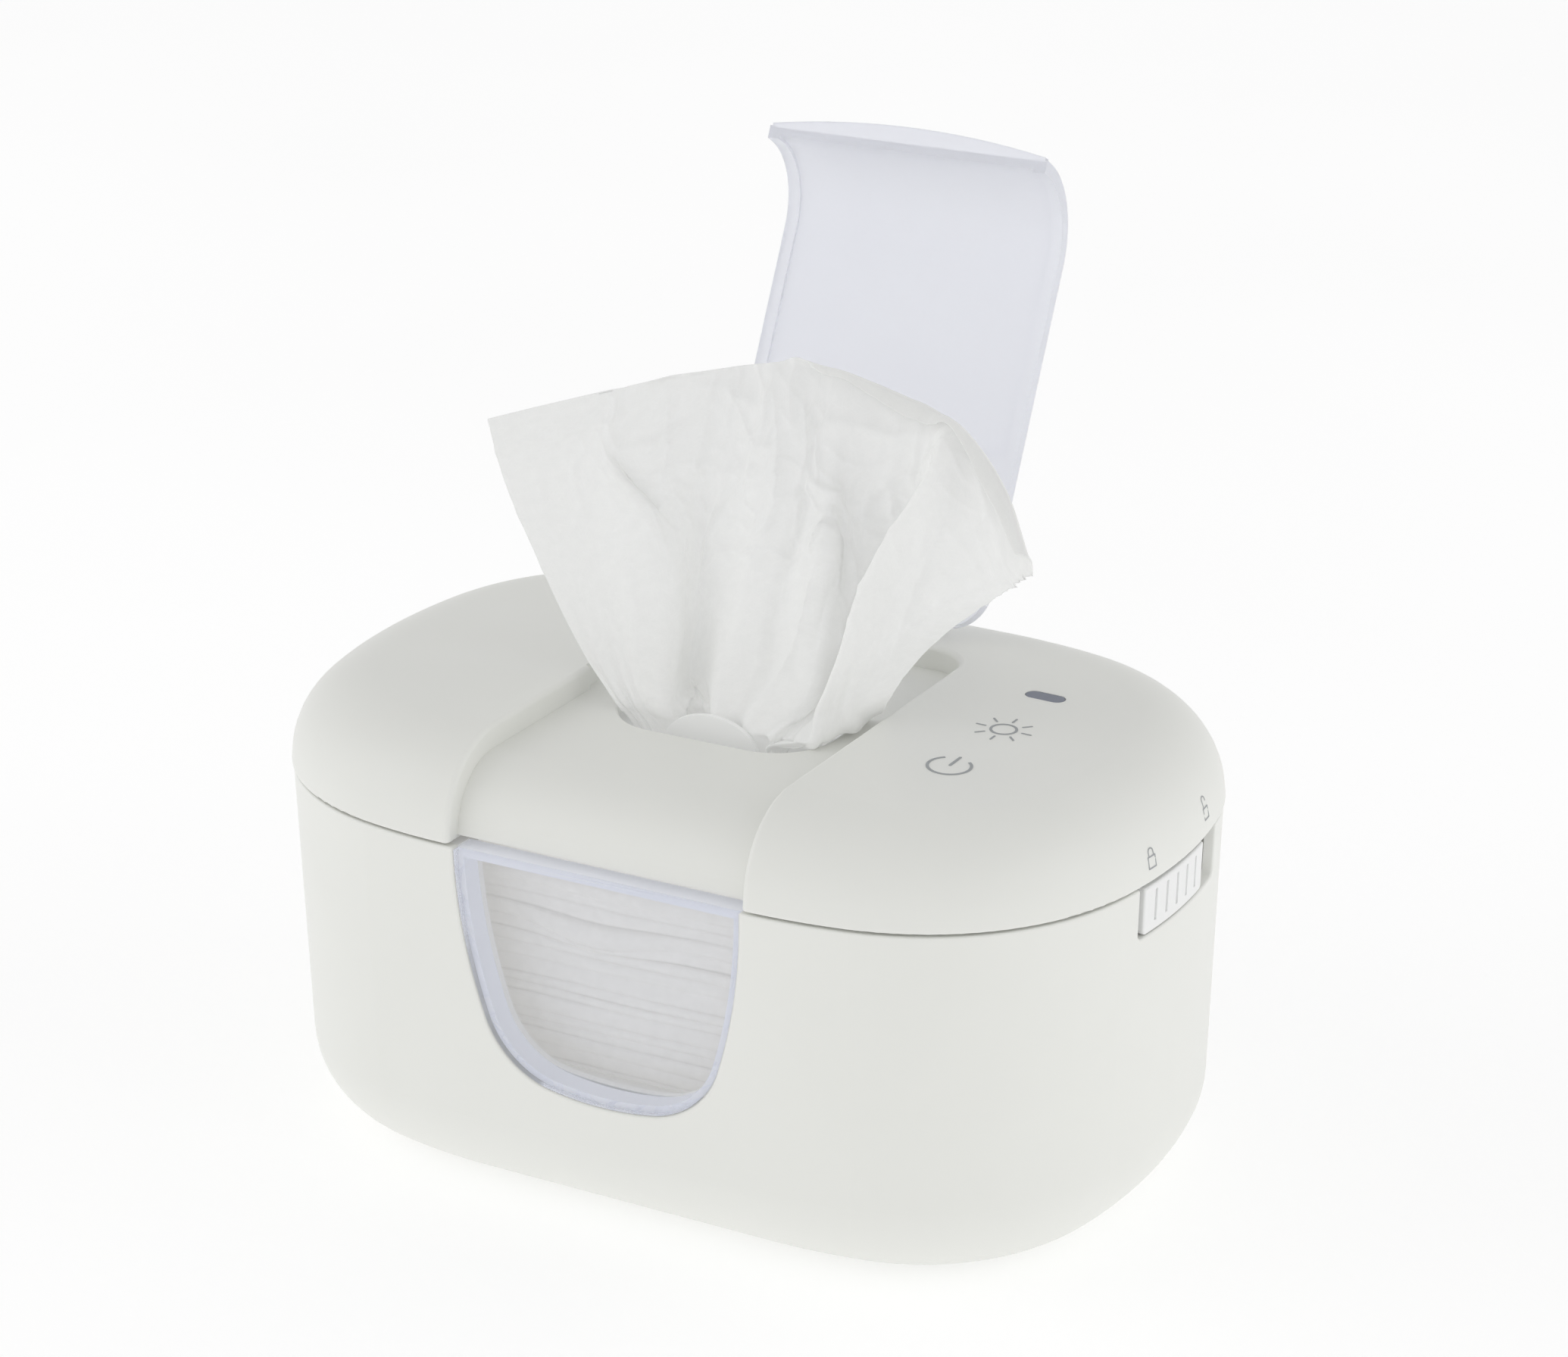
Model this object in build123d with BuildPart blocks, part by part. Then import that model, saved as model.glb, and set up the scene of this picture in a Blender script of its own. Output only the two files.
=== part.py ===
"""Baby wipe warmer: a heated tub of wet wipes under a hinged cover with a flip-up dispensing lid.

Millimetres, +Z up.  X runs along the long side, Y from front to back.  The origin is on the
surface that the feet stand on, under the middle of the tub.
"""
from math import asin, atan, cos, degrees, hypot, radians, sin, tan
import os

from build123d import *

os.makedirs("parts", exist_ok=True)

# ---------------------------------------------------------------- driving dimensions
# Overall form
LENGTH = 210.0              # along X, at the seam
DEPTH = 137.9               # along Y, at the seam
SEAM_Z = 86.1               # height of the seam between tub and cover
COVER_RISE = 21.7           # seam to the highest point of the cover
CROWN = 2.0                 # fall of the cover's top from its middle to its two ends

# Plan outline: a straight front, a long front arc, a tighter corner arc and a long end arc
FRONT_ARC_R = 123.0
FRONT_ARC_DEG = 11.2
CORNER_ARC_R = 54.3
CORNER_ARC_DEG = 67.1

# Walls and gaps
TUB_WALL = 2.4
COVER_WALL = 2.4
TUB_DRAFT = 2.4             # how far the tub's foot is drawn in from its rim
COVER_DRAFT_DEG = 6.0
BOTTOM_FILLET = 21.0
COVER_FILLET = 19.5
SEAM_GAP = 0.7              # shadow gap between tub and cover
OVERHANG = 0.4              # the cover stands out past the tub's rim
FIT = 0.15                  # between pieces fixed to each other
SLACK = 0.35                # between pieces that move past each other
RIM_R = 0.5                 # softened rims of tub and cover, and edges of the lock's slot
WINDOW_EDGE_R = 0.8

# Base and feet
FOOT_PROUD = 0.8
FOOT_DIA = 13.0
FOOT_SUNK = 0.8
FLOOR_T = 3.6
BASE_T = 1.9
BASE_INSET = 25.5
LEDGE_W = 10.5
FOOT_X = 58.0
FOOT_Y = 25.0
VENT_LENGTH = 24.0
VENT_WIDTH = 1.8
VENT_PITCH = 5.0
VENT_SPREAD = 60.0          # between the two rows of vents, clear of the middle foot

# Window in the front of the tub
WINDOW_WIDEST = 35.0        # half; kept on the flat part of the front
WINDOW_BOTTOM_Z = 31.6
WINDOW_FLAT_R = 72.0
WINDOW_FLAT_DEG = 10.0
WINDOW_CORNER_R = 21.0
WINDOW_CORNER_DEG = 62.0
PANE_T = 1.8
BEZEL_T = 1.6
BEZEL_LIP = 1.9

# Inner tank
TANK_INSET = 7.0
TANK_WALL = 1.6
TANK_FLOOR_Z = 28.0
TANK_FILLET = 9.0
FLANGE_T = 2.0
FLANGE_GAP = 0.5            # tank flange below the tub's rim
BOSS_DIA = 4.4
BOSS_FOOT_Z = 36.0

# Heater stack under the tank
PLATE_SHORTER = 64.0        # than the body
PLATE_NARROWER = 53.9       # than the body
PLATE_T = 1.5
FILM_T = 0.4
PAD_T = 4.0
TRAY_T = 1.8

# Electronics in the tub
BOARD_LENGTH = 66.0
BOARD_DEPTH = 42.0
BOARD_T = 1.6
BOARD_Z = 8.4
INLET_X = -42.0
INLET_Z = 15.0
INLET_BODY = 9.5
INLET_BORE = 5.5
LIGHT_LEAD_X = 8.0
LIGHT_LEAD_GAP = 2.4

# Channel in the cover, and the opening that wipes come through
CHANNEL_HALF = 36.0
CHANNEL_BACK_Y = 37.0
CHANNEL_CORNER_R = 9.5
CHANNEL_FLOOR_Z = 102.0
CHANNEL_FRONT_INSET = 3.1
CHANNEL_FRONT_LEAN = 0.25   # the channel's front face leans in by this much per mm of height
CHANNEL_FRONT_R = 14.4
CHANNEL_EDGE_R = 1.2
POCKET_FRONT_Y = -10.0
POCKET_LENGTH = 22.0
POCKET_WIDTH = 1.2
MOUTH_LENGTH = 52.0
MOUTH_DEPTH = 50.0
MOUTH_CORNER_R = 14.0
MOUTH_EDGE_R = 0.8

# Flip lid and its hinge
LID_T = 2.2
LID_SIDE_GAP = 0.7
LID_OPEN_DEG = 116.5
LID_RIM_W = 3.0
LID_RIM_T = 0.8
LID_TIP_Z = 87.4
LID_LIP_OUT = 3.4           # how far the thumb lip stands out in the middle of the tip
LID_LIP_END = 0.5           # and at its ends
LID_LIP_T = 1.6
LID_AXIS_Y = 40.6
LID_AXIS_DROP = 1.2         # hinge axis below the cover's highest point
LID_BARREL_R = 2.1
LID_KNUCKLE_IN = 10.5
LID_KNUCKLE_OUT = 19.5
LID_PIN_DIA = 1.8

# Cover hinge at the left end
HINGE_OUT = 1.5             # hinge axis outside the outline
HINGE_R = 2.3
HINGE_HALF = 15.0
HINGE_MID_HALF = 6.8
HINGE_PIN_DIA = 2.0
COVER_OPEN_DEG = 100.0

# Slide lock at the right end
LOCK_SLOT_FRONT_Y = -18.4
LOCK_SLOT_BOTTOM_Z = 73.9
LOCK_SLOT_CORNER_R = 1.5
LOCK_FRONT_Y = -16.3
LOCK_LENGTH = 28.9
LOCK_TRAVEL = 8.4
LOCK_END_GAP = 0.6          # left behind the lock when it is open
LOCK_GRIP_COUNT = 5
LOCK_GRIP_PITCH = 4.9
LOCK_GRIP_W = 1.0
LOCK_GRIP_DEPTH = 0.5
RAIL_T = 1.5
KEEPER_T = 1.4

# Touch keys and indicator on the cover
KEY_X = 61.0
POWER_KEY_Y = -23.1
LIGHT_KEY_Y = 0.8
INDICATOR_Y = 22.4
INDICATOR_LENGTH = 9.2
INDICATOR_WIDTH = 4.0
TOUCH_BOARD_LENGTH = 28.0
TOUCH_BOARD_DEPTH = 66.0
HARNESS_Y = 5.0
HARNESS_DIA = 1.8

# Wipes
STACK_LENGTH = 172.0
STACK_DEPTH = 106.0
STACK_CORNER_R = 30.0
STACK_HEIGHT = 54.0

# ---------------------------------------------------------------- sizes worked out from them
HALF_L = LENGTH / 2
HALF_D = DEPTH / 2
TOP_Z = SEAM_Z + COVER_RISE
TUB_FOOT_Z = FOOT_PROUD
PLATE_LENGTH = LENGTH - PLATE_SHORTER
PLATE_DEPTH = DEPTH - PLATE_NARROWER
TUB_TOP_Z = SEAM_Z - SEAM_GAP / 2
COVER_EDGE_Z = SEAM_Z + SEAM_GAP / 2
TUB_DRAFT_DEG = degrees(atan(TUB_DRAFT / (TUB_TOP_Z - TUB_FOOT_Z)))
FLOOR_TOP_Z = TUB_FOOT_Z + FLOOR_T

_turn_1 = radians(FRONT_ARC_DEG)
_turn_2 = radians(FRONT_ARC_DEG + CORNER_ARC_DEG)
END_ARC_R = (
    HALF_D - FRONT_ARC_R * (1 - cos(_turn_1)) - CORNER_ARC_R * (cos(_turn_1) - cos(_turn_2))
) / cos(_turn_2)
FRONT_HALF = (
    HALF_L - FRONT_ARC_R * sin(_turn_1) - CORNER_ARC_R * (sin(_turn_2) - sin(_turn_1))
    - END_ARC_R * (1 - sin(_turn_2))
)
WINDOW_HALF = min(WINDOW_WIDEST, FRONT_HALF - 0.9)
END_CENTRE_X = HALF_L - END_ARC_R      # centre of the right end's arc, and the lock's axis

FLANGE_Z = TUB_TOP_Z - FLANGE_GAP - FLANGE_T
LID_AXIS_Z = TOP_Z - LID_AXIS_DROP
HINGE_X = -HALF_L - HINGE_OUT
HINGE_Z = SEAM_Z
TOP_INSIDE_Z = TOP_Z - COVER_WALL
LOCK_BACK_Y = LOCK_FRONT_Y + LOCK_LENGTH
LOCK_SLOT_BACK_Y = LOCK_BACK_Y + LOCK_TRAVEL + LOCK_END_GAP
TROUGH_T = 2.2
LINER_T = 1.6
LINER_Z = COVER_EDGE_Z + 1.8
LINER_INSET = 7.0
MOUTH_Y = 0.5
CHIMNEY_LENGTH = MOUTH_LENGTH + 10.0
CHIMNEY_DEPTH = MOUTH_DEPTH + 10.0
CHIMNEY_WALL = 1.4


# ---------------------------------------------------------------- shared shapes
def outline(inset=0.0):
    """The body's plan outline, drawn in by inset."""
    with BuildSketch() as face:
        with BuildLine():
            front = Line((0, inset - HALF_D), (FRONT_HALF, inset - HALF_D))
            bow = JernArc(front @ 1, front % 1, FRONT_ARC_R - inset, FRONT_ARC_DEG)
            corner = JernArc(bow @ 1, bow % 1, CORNER_ARC_R - inset, CORNER_ARC_DEG)
            end_deg = 90 - FRONT_ARC_DEG - CORNER_ARC_DEG
            JernArc(corner @ 1, corner % 1, END_ARC_R - inset, end_deg)
            mirror(about=Plane.YZ)
            mirror(about=Plane.XZ)
        make_face()
    return face.sketch


def tub_form(inset, low_z, high_z=TUB_TOP_Z, fillet_radius=0.0):
    """The tub's drafted outside, drawn in by inset, between two heights."""
    with BuildPart() as form:
        with BuildSketch(Plane.XY.offset(TUB_TOP_Z)):
            add(outline(OVERHANG + inset))
        extrude(amount=low_z - TUB_TOP_Z, taper=TUB_DRAFT_DEG)
        if fillet_radius:
            fillet(form.edges().group_by(Axis.Z)[0], fillet_radius)
        if high_z < TUB_TOP_Z:
            split(bisect_by=Plane.XY.offset(high_z), keep=Keep.BOTTOM)
    return form.part


def cover_form(inset, low_z=COVER_EDGE_Z):
    """The cover's outside, drawn in by inset: drafted walls under a crowned, rounded top."""
    half_width = HALF_L + 5
    crown_end_z = TOP_Z - inset - CROWN * (half_width / HALF_L) ** 2
    with BuildPart() as form:
        with BuildSketch(Plane.XY.offset(COVER_EDGE_Z)):
            add(outline(inset))
        extrude(amount=COVER_RISE + 5, taper=COVER_DRAFT_DEG)
        with BuildSketch(Plane.XZ) as crown:
            with BuildLine():
                ThreePointArc((-half_width, crown_end_z), (0, TOP_Z - inset), (half_width, crown_end_z))
                Polyline(
                    (half_width, crown_end_z),
                    (half_width, SEAM_Z - 10),
                    (-half_width, SEAM_Z - 10),
                    (-half_width, crown_end_z),
                )
            make_face()
        extrude(amount=DEPTH, both=True, mode=Mode.INTERSECT)
        fillet(form.faces().sort_by(Axis.Z)[-1].edges(), COVER_FILLET - inset)
        if low_z < COVER_EDGE_Z:
            with BuildSketch(Plane.XY.offset(COVER_EDGE_Z)):
                add(outline(inset))
            extrude(amount=low_z - COVER_EDGE_Z)
    return form.part


def window_outline(inset=0.0):
    """The window's U, drawn in by inset: an upright face that runs up past the tub's rim."""
    side_deg = 90 - WINDOW_FLAT_DEG - WINDOW_CORNER_DEG
    with BuildSketch() as face:
        with BuildLine():
            base = JernArc((0, WINDOW_BOTTOM_Z + inset), (1, 0), WINDOW_FLAT_R - inset, WINDOW_FLAT_DEG)
            corner = JernArc(base @ 1, base % 1, WINDOW_CORNER_R - inset, WINDOW_CORNER_DEG)
            reach = WINDOW_HALF - inset - (corner @ 1).X
            side_r = reach / (1 - cos(radians(side_deg)))
            side = JernArc(corner @ 1, corner % 1, side_r, side_deg)
            rise = Line(side @ 1, ((side @ 1).X, TUB_TOP_Z + 8))
            Line(rise @ 1, (0, TUB_TOP_Z + 8))
            mirror(about=Plane.YZ)
        make_face()
    return face.sketch


def window_prism(inset=0.0):
    """The window's U, extruded from in front of the tub to behind the tank's front wall."""
    with BuildPart() as prism:
        with BuildSketch(Plane.XZ):
            add(window_outline(inset))
        extrude(amount=HALF_D + 10)
        split(bisect_by=Plane.XZ.offset(HALF_D - TANK_INSET - TANK_WALL - 8), keep=Keep.TOP)
    return prism.part


def end_sector(outer_inset, inner_inset, front_y, back_y):
    """A piece of a ring along the right end's arc.

    Its radii are drawn in from the outline; front_y and back_y are where it would start and
    stop on the outline itself.
    """
    start = degrees(asin(front_y / END_ARC_R))
    size = degrees(asin(back_y / END_ARC_R)) - start
    with BuildSketch() as face:
        with BuildLine():
            outer = CenterArc((END_CENTRE_X, 0), END_ARC_R - outer_inset, start, size)
            inner = CenterArc((END_CENTRE_X, 0), END_ARC_R - inner_inset, start, size)
            Line(outer @ 0, inner @ 0)
            Line(outer @ 1, inner @ 1)
        make_face()
    return face.sketch


def end_face_edges(edges):
    """Those of the edges that lie on the outside of the right end."""
    low_reach = END_ARC_R - OVERHANG - TUB_WALL / 2
    return [
        edge for edge in edges
        if edge.center().Z < TUB_TOP_Z - RIM_R
        and hypot(edge.center().X - END_CENTRE_X, edge.center().Y) > low_reach
    ]


def channel_profile(drop=0.0):
    """Everything above the channel's floor, seen along X; drop lowers and widens it all round."""
    foot_z = COVER_EDGE_Z - 2
    foot_y = CHANNEL_FRONT_INSET - HALF_D + drop
    floor_z = CHANNEL_FLOOR_Z - drop
    corner_y = foot_y + (floor_z - foot_z) * CHANNEL_FRONT_LEAN
    with BuildSketch() as face:
        with BuildLine():
            FilletPolyline(
                (foot_y, foot_z), (corner_y, floor_z), (CHANNEL_BACK_Y + drop, floor_z),
                radius=CHANNEL_FRONT_R - drop,
            )
            Polyline(
                (CHANNEL_BACK_Y + drop, floor_z),
                (CHANNEL_BACK_Y + drop, TOP_Z + 10),
                (-HALF_D - 10, TOP_Z + 10),
                (-HALF_D - 10, foot_z),
                (foot_y, foot_z),
            )
        make_face()
    return face.sketch


def channel_form(drop=0.0):
    """The channel as a solid to cut away, or, with a drop, the trough that carries it."""
    half = CHANNEL_HALF + drop
    with BuildPart() as form:
        with BuildSketch(Plane.YZ):
            add(channel_profile(drop))
        extrude(amount=half, both=True)
        corners = form.edges().filter_by(Axis.Z).filter_by_position(
            Axis.Y, CHANNEL_BACK_Y + drop - 0.1, CHANNEL_BACK_Y + drop + 0.1
        )
        fillet(corners, CHANNEL_CORNER_R + drop)
    return form.part


def save(part, name):
    """Labels a finished piece and writes it."""
    part.label = name
    export_step(part, f"parts/{name}.step")


def corner_spots(inset, turn_deg):
    """The four points that lie inset inside the outline, where it has turned by turn_deg."""
    middle_x = FRONT_HALF + (FRONT_ARC_R - CORNER_ARC_R) * sin(_turn_1)
    middle_y = HALF_D - FRONT_ARC_R + (FRONT_ARC_R - CORNER_ARC_R) * cos(_turn_1)
    x = middle_x + (CORNER_ARC_R - inset) * sin(radians(turn_deg))
    y = middle_y + (CORNER_ARC_R - inset) * cos(radians(turn_deg))
    return [(x * across, y * back) for across in (-1, 1) for back in (-1, 1)]


def hinge_knuckle(wall_points):
    """A hinge knuckle seen along Y: its barrel, and an arm that tapers into the wall."""
    with BuildSketch() as face:
        with BuildLine():
            CenterArc((HINGE_X, HINGE_Z), HINGE_R, 0, 360)
            Line(*wall_points)
        make_hull()
    return face.sketch


def countersunk_screw(head_dia, shank_dia, length):
    """A cross-head countersunk screw, head up, its top at the origin."""
    head_height = (head_dia - shank_dia) / 2
    with BuildPart() as screw:
        with BuildSketch(Plane.XZ):
            with BuildLine():
                Polyline(
                    (0, 0), (head_dia / 2, 0), (shank_dia / 2, -head_height),
                    (shank_dia / 2, -length + shank_dia / 2), (0, -length), (0, 0),
                )
            make_face()
        revolve(axis=Axis.Z)
        with BuildSketch():
            Rectangle(head_dia * 0.55, head_dia * 0.14)
            Rectangle(head_dia * 0.14, head_dia * 0.55)
        extrude(amount=-head_height * 0.6, mode=Mode.SUBTRACT)
    return screw.part


def wire(route, bend_radius, diameter):
    """An insulated wire along straight runs with rounded bends."""
    with BuildPart() as strand:
        with BuildLine() as path:
            FilletPolyline(*route, radius=bend_radius)
        with BuildSketch(Plane(path.line @ 0, z_dir=path.line % 0)):
            Circle(diameter / 2)
        sweep()
    return strand.part


# ---------------------------------------------------------------- tub shell
tub_outside = tub_form(0, TUB_FOOT_Z, fillet_radius=BOTTOM_FILLET)
tub_inside = tub_form(TUB_WALL, FLOOR_TOP_Z, fillet_radius=BOTTOM_FILLET - FLOOR_T)
flange_spots = corner_spots(OVERHANG + TUB_WALL + BOSS_DIA / 2 + FIT, 45)
base_spots = corner_spots(OVERHANG + BASE_INSET + 4.2, 45)
tray_spots = corner_spots(OVERHANG + BASE_INSET + 4.2, 76)
inlet_nose_dia = INLET_BORE + 2.8
light_shelf_z = WINDOW_BOTTOM_Z - 4.2
window_edge_y = OVERHANG + TUB_WALL - 0.2 - HALF_D      # between the wall's two faces

with BuildPart() as tub_shell:
    add(tub_outside)
    fillet(tub_shell.edges().group_by(Axis.Z)[-1], RIM_R)
    add(tub_inside, mode=Mode.SUBTRACT)

    # bosses that the tank's flange is screwed down on, and posts that carry the heater's tray
    with BuildSketch(Plane.XY.offset(BOSS_FOOT_Z)):
        with Locations(*flange_spots):
            Circle(BOSS_DIA / 2)
    extrude(amount=FLANGE_Z - BOSS_FOOT_Z)
    tray_z = TANK_FLOOR_Z - PLATE_T - FILM_T - PAD_T - TRAY_T
    with BuildSketch(Plane.XY.offset(FLOOR_TOP_Z)):
        with Locations(*tray_spots):
            Circle(3.2)
    extrude(amount=tray_z - FLOOR_TOP_Z)
    with Locations(*[(x, y, FLANGE_Z) for x, y in flange_spots], *[(x, y, tray_z) for x, y in tray_spots]):
        Hole(0.9, depth=9)

    # shelf for the night light under the window
    shelf_front = HALF_D - OVERHANG - TUB_WALL
    with BuildSketch(Plane.XY.offset(light_shelf_z)):
        with Locations((0, -shelf_front + 1.8)):
            Rectangle(48, 4.8)
            with Locations((LIGHT_LEAD_X + LIGHT_LEAD_GAP / 2, 1.4)):
                Rectangle(LIGHT_LEAD_GAP + 2.4, 4.8, mode=Mode.SUBTRACT)
    extrude(amount=1.2)

    # hinge knuckles on the left end's wall
    with BuildSketch(Plane.XZ.offset(HINGE_MID_HALF + SLACK)):
        add(hinge_knuckle([(1.4 - HALF_L, HINGE_Z - 1), (1.7 - HALF_L, HINGE_Z - 8)]))
    extrude(amount=HINGE_HALF - HINGE_MID_HALF - SLACK)
    mirror(about=Plane.XZ)
    with BuildSketch(Plane.XZ):
        with Locations((HINGE_X, HINGE_Z)):
            Circle(HINGE_PIN_DIA / 2 + FIT)
    extrude(amount=HINGE_HALF + 1, both=True, mode=Mode.SUBTRACT)
    with BuildSketch(Plane.XZ):
        with Locations((HINGE_X, HINGE_Z)):
            Circle(HINGE_R + SLACK)
    extrude(amount=HINGE_MID_HALF + SLACK, both=True, mode=Mode.SUBTRACT)

    # window and the slot that the lock slides in, both with softened edges outside
    add(window_prism(), mode=Mode.SUBTRACT)
    window_edges = tub_shell.edges(Select.LAST).filter_by(GeomType.ELLIPSE)
    fillet(window_edges.filter_by(lambda edge: edge.bounding_box().max.Y < window_edge_y), WINDOW_EDGE_R)
    with BuildPart(mode=Mode.PRIVATE) as lock_slot:
        with BuildSketch(Plane.XY.offset(LOCK_SLOT_BOTTOM_Z)):
            add(end_sector(-2, TUB_WALL + 3, LOCK_SLOT_FRONT_Y, LOCK_SLOT_BACK_Y))
        extrude(amount=20)
        fillet(lock_slot.edges().group_by(Axis.Z)[0].filter_by(GeomType.LINE), LOCK_SLOT_CORNER_R)
    add(lock_slot.part, mode=Mode.SUBTRACT)
    fillet(end_face_edges(tub_shell.edges(Select.LAST)), RIM_R)

    # floor: a rebate for the base cover and an opening inside it
    with BuildSketch(Plane.XY.offset(TUB_FOOT_Z)):
        add(outline(OVERHANG + BASE_INSET))
    extrude(amount=BASE_T, mode=Mode.SUBTRACT)
    with BuildSketch(Plane.XY.offset(TUB_FOOT_Z)):
        add(outline(OVERHANG + BASE_INSET + LEDGE_W))
    extrude(amount=FLOOR_T + 1, mode=Mode.SUBTRACT)
    with Locations(*[(x, y, FLOOR_TOP_Z) for x, y in base_spots]):
        Cylinder(2.6, 4.4, align=(Align.CENTER, Align.CENTER, Align.MIN))
    with Locations(*[Location((x, y, TUB_FOOT_Z + BASE_T), (180, 0, 0)) for x, y in base_spots]):
        Hole(0.9, depth=5)

    # hole and flat for the power inlet
    with BuildSketch(Plane.XZ):
        with Locations((INLET_X, INLET_Z)):
            Circle(inlet_nose_dia / 2 + FIT)
    extrude(amount=-HALF_D, mode=Mode.SUBTRACT)
    with BuildSketch(Plane.XZ.offset(5.2 - HALF_D)):
        with Locations((INLET_X, INLET_Z)):
            Circle(inlet_nose_dia / 2 + 2.2)
    extrude(amount=-8, mode=Mode.SUBTRACT)
save(tub_shell.part, "tub_shell")

# ---------------------------------------------------------------- base cover, feet and screws
board_spots = [(x * (BOARD_LENGTH / 2 - 4), y * (BOARD_DEPTH / 2 - 4)) for x in (-1, 1) for y in (-1, 1)]
base_top_z = TUB_FOOT_Z + BASE_T
foot_spots = [(0, 0)] + [(x * FOOT_X, y * FOOT_Y) for x in (-1, 1) for y in (-1, 1)]

with BuildPart() as base_cover:
    with BuildSketch(Plane.XY.offset(TUB_FOOT_Z)):
        add(outline(OVERHANG + BASE_INSET + FIT))
    extrude(amount=BASE_T)
    with BuildSketch(Plane.XY.offset(base_top_z)):
        with Locations(*board_spots):
            Circle(2.6)
    extrude(amount=BOARD_Z - base_top_z)
    with Locations(*[(x, y, BOARD_Z) for x, y in board_spots]):
        Hole(0.8, depth=5)
    with BuildSketch(Plane.XY.offset(TUB_FOOT_Z)):
        with Locations(*foot_spots):
            Circle(FOOT_DIA / 2 + FIT)
    extrude(amount=FOOT_SUNK, mode=Mode.SUBTRACT)
    with BuildSketch(Plane.XY.offset(TUB_FOOT_Z)):
        with GridLocations(VENT_SPREAD, VENT_PITCH, 2, 5):
            SlotOverall(VENT_LENGTH, VENT_WIDTH)
    extrude(amount=BASE_T, mode=Mode.SUBTRACT)
    with Locations(*[Location((x, y, TUB_FOOT_Z), (180, 0, 0)) for x, y in base_spots]):
        CounterSinkHole(1.25, 2.3, depth=BASE_T)
save(base_cover.part, "base_cover")

with BuildPart() as rubber_feet:
    with BuildSketch():
        with Locations(*foot_spots):
            Circle(FOOT_DIA / 2)
    extrude(amount=FOOT_PROUD + FOOT_SUNK)
    fillet(rubber_feet.edges().group_by(Axis.Z)[0], 0.5)
save(rubber_feet.part, "rubber_feet")

with BuildPart() as base_screws:
    with Locations(*[Location((x, y, TUB_FOOT_Z), (180, 0, 0)) for x, y in base_spots]):
        add(countersunk_screw(4.2, 1.8, 6.5))
save(base_screws.part, "base_screws")

# ---------------------------------------------------------------- window
PANE_SETBACK = 0.1
pane_top_z = TUB_TOP_Z - 0.4

with BuildPart() as window_pane:
    add(tub_form(PANE_SETBACK, WINDOW_BOTTOM_Z - 5, high_z=pane_top_z))
    add(tub_form(PANE_SETBACK + PANE_T, WINDOW_BOTTOM_Z - 6), mode=Mode.SUBTRACT)
    add(window_prism(FIT), mode=Mode.INTERSECT)
save(window_pane.part, "window_pane")

with BuildPart() as window_bezel:
    add(tub_form(PANE_SETBACK + PANE_T, WINDOW_BOTTOM_Z - 5, high_z=pane_top_z))
    add(tub_form(TANK_INSET - FIT, WINDOW_BOTTOM_Z - 6), mode=Mode.SUBTRACT)
    add(window_prism(FIT), mode=Mode.INTERSECT)
    with BuildPart(mode=Mode.PRIVATE) as inside:
        add(window_prism(FIT + BEZEL_T))
        split(bisect_by=Plane.XY.offset(pane_top_z - BEZEL_LIP), keep=Keep.BOTTOM)
    add(inside.part, mode=Mode.SUBTRACT)
save(window_bezel.part, "window_bezel")

# ---------------------------------------------------------------- inner tank
flange_outer = OVERHANG + TUB_WALL + FIT + 0.1
flange_step = OVERHANG + TANK_INSET
with BuildPart() as inner_tank:
    add(tub_form(TANK_INSET, TANK_FLOOR_Z, high_z=FLANGE_Z + FLANGE_T, fillet_radius=TANK_FILLET))
    with BuildSketch(Plane.XY.offset(FLANGE_Z)):
        add(outline(flange_outer))
    extrude(amount=FLANGE_T)
    tank_cavity = tub_form(
        TANK_INSET + TANK_WALL, TANK_FLOOR_Z + TANK_WALL, fillet_radius=TANK_FILLET - TANK_WALL
    )
    add(tank_cavity, mode=Mode.SUBTRACT)
    add(window_prism(FIT + BEZEL_T), mode=Mode.SUBTRACT)

    # room in the flange for the window's bezel, the lock and the contact block
    with BuildSketch(Plane.XY.offset(FLANGE_Z)):
        with Locations((0, flange_step - HALF_D - 10)):
            Rectangle(2 * WINDOW_HALF + 1, 20)
        add(end_sector(0, flange_step, LOCK_SLOT_FRONT_Y - 6.5, LOCK_SLOT_BACK_Y + 7.5))
        with Locations((flange_step - HALF_L - 5, 0)):
            Rectangle(10, 19)
    extrude(amount=FLANGE_T, mode=Mode.SUBTRACT)
    with Locations(*[(x, y, FLANGE_Z + FLANGE_T) for x, y in flange_spots]):
        CounterSinkHole(1.2, 2.05, depth=FLANGE_T)
save(inner_tank.part, "inner_tank")

with BuildPart() as tank_screws:
    with Locations(*[(x, y, FLANGE_Z + FLANGE_T) for x, y in flange_spots]):
        add(countersunk_screw(3.8, 1.8, 8.0))
save(tank_screws.part, "tank_screws")

# ---------------------------------------------------------------- heater stack
plate_z = TANK_FLOOR_Z - PLATE_T
film_z = plate_z - FILM_T
pad_z = film_z - PAD_T
FUSE_X = -30.0
SENSOR_SPOT = (40.0, 20.0)
LEAD_X = 22.0
LEAD_GAP = 4.0

with BuildPart() as heater_plate:
    with BuildSketch(Plane.XY.offset(plate_z)):
        RectangleRounded(PLATE_LENGTH, PLATE_DEPTH, 22)
    extrude(amount=PLATE_T)
save(heater_plate.part, "heater_plate")

with BuildPart() as heating_film:
    with BuildSketch(Plane.XY.offset(film_z)):
        RectangleRounded(PLATE_LENGTH - 8, PLATE_DEPTH - 8, 18)
    extrude(amount=FILM_T)
save(heating_film.part, "heating_film")

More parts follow.
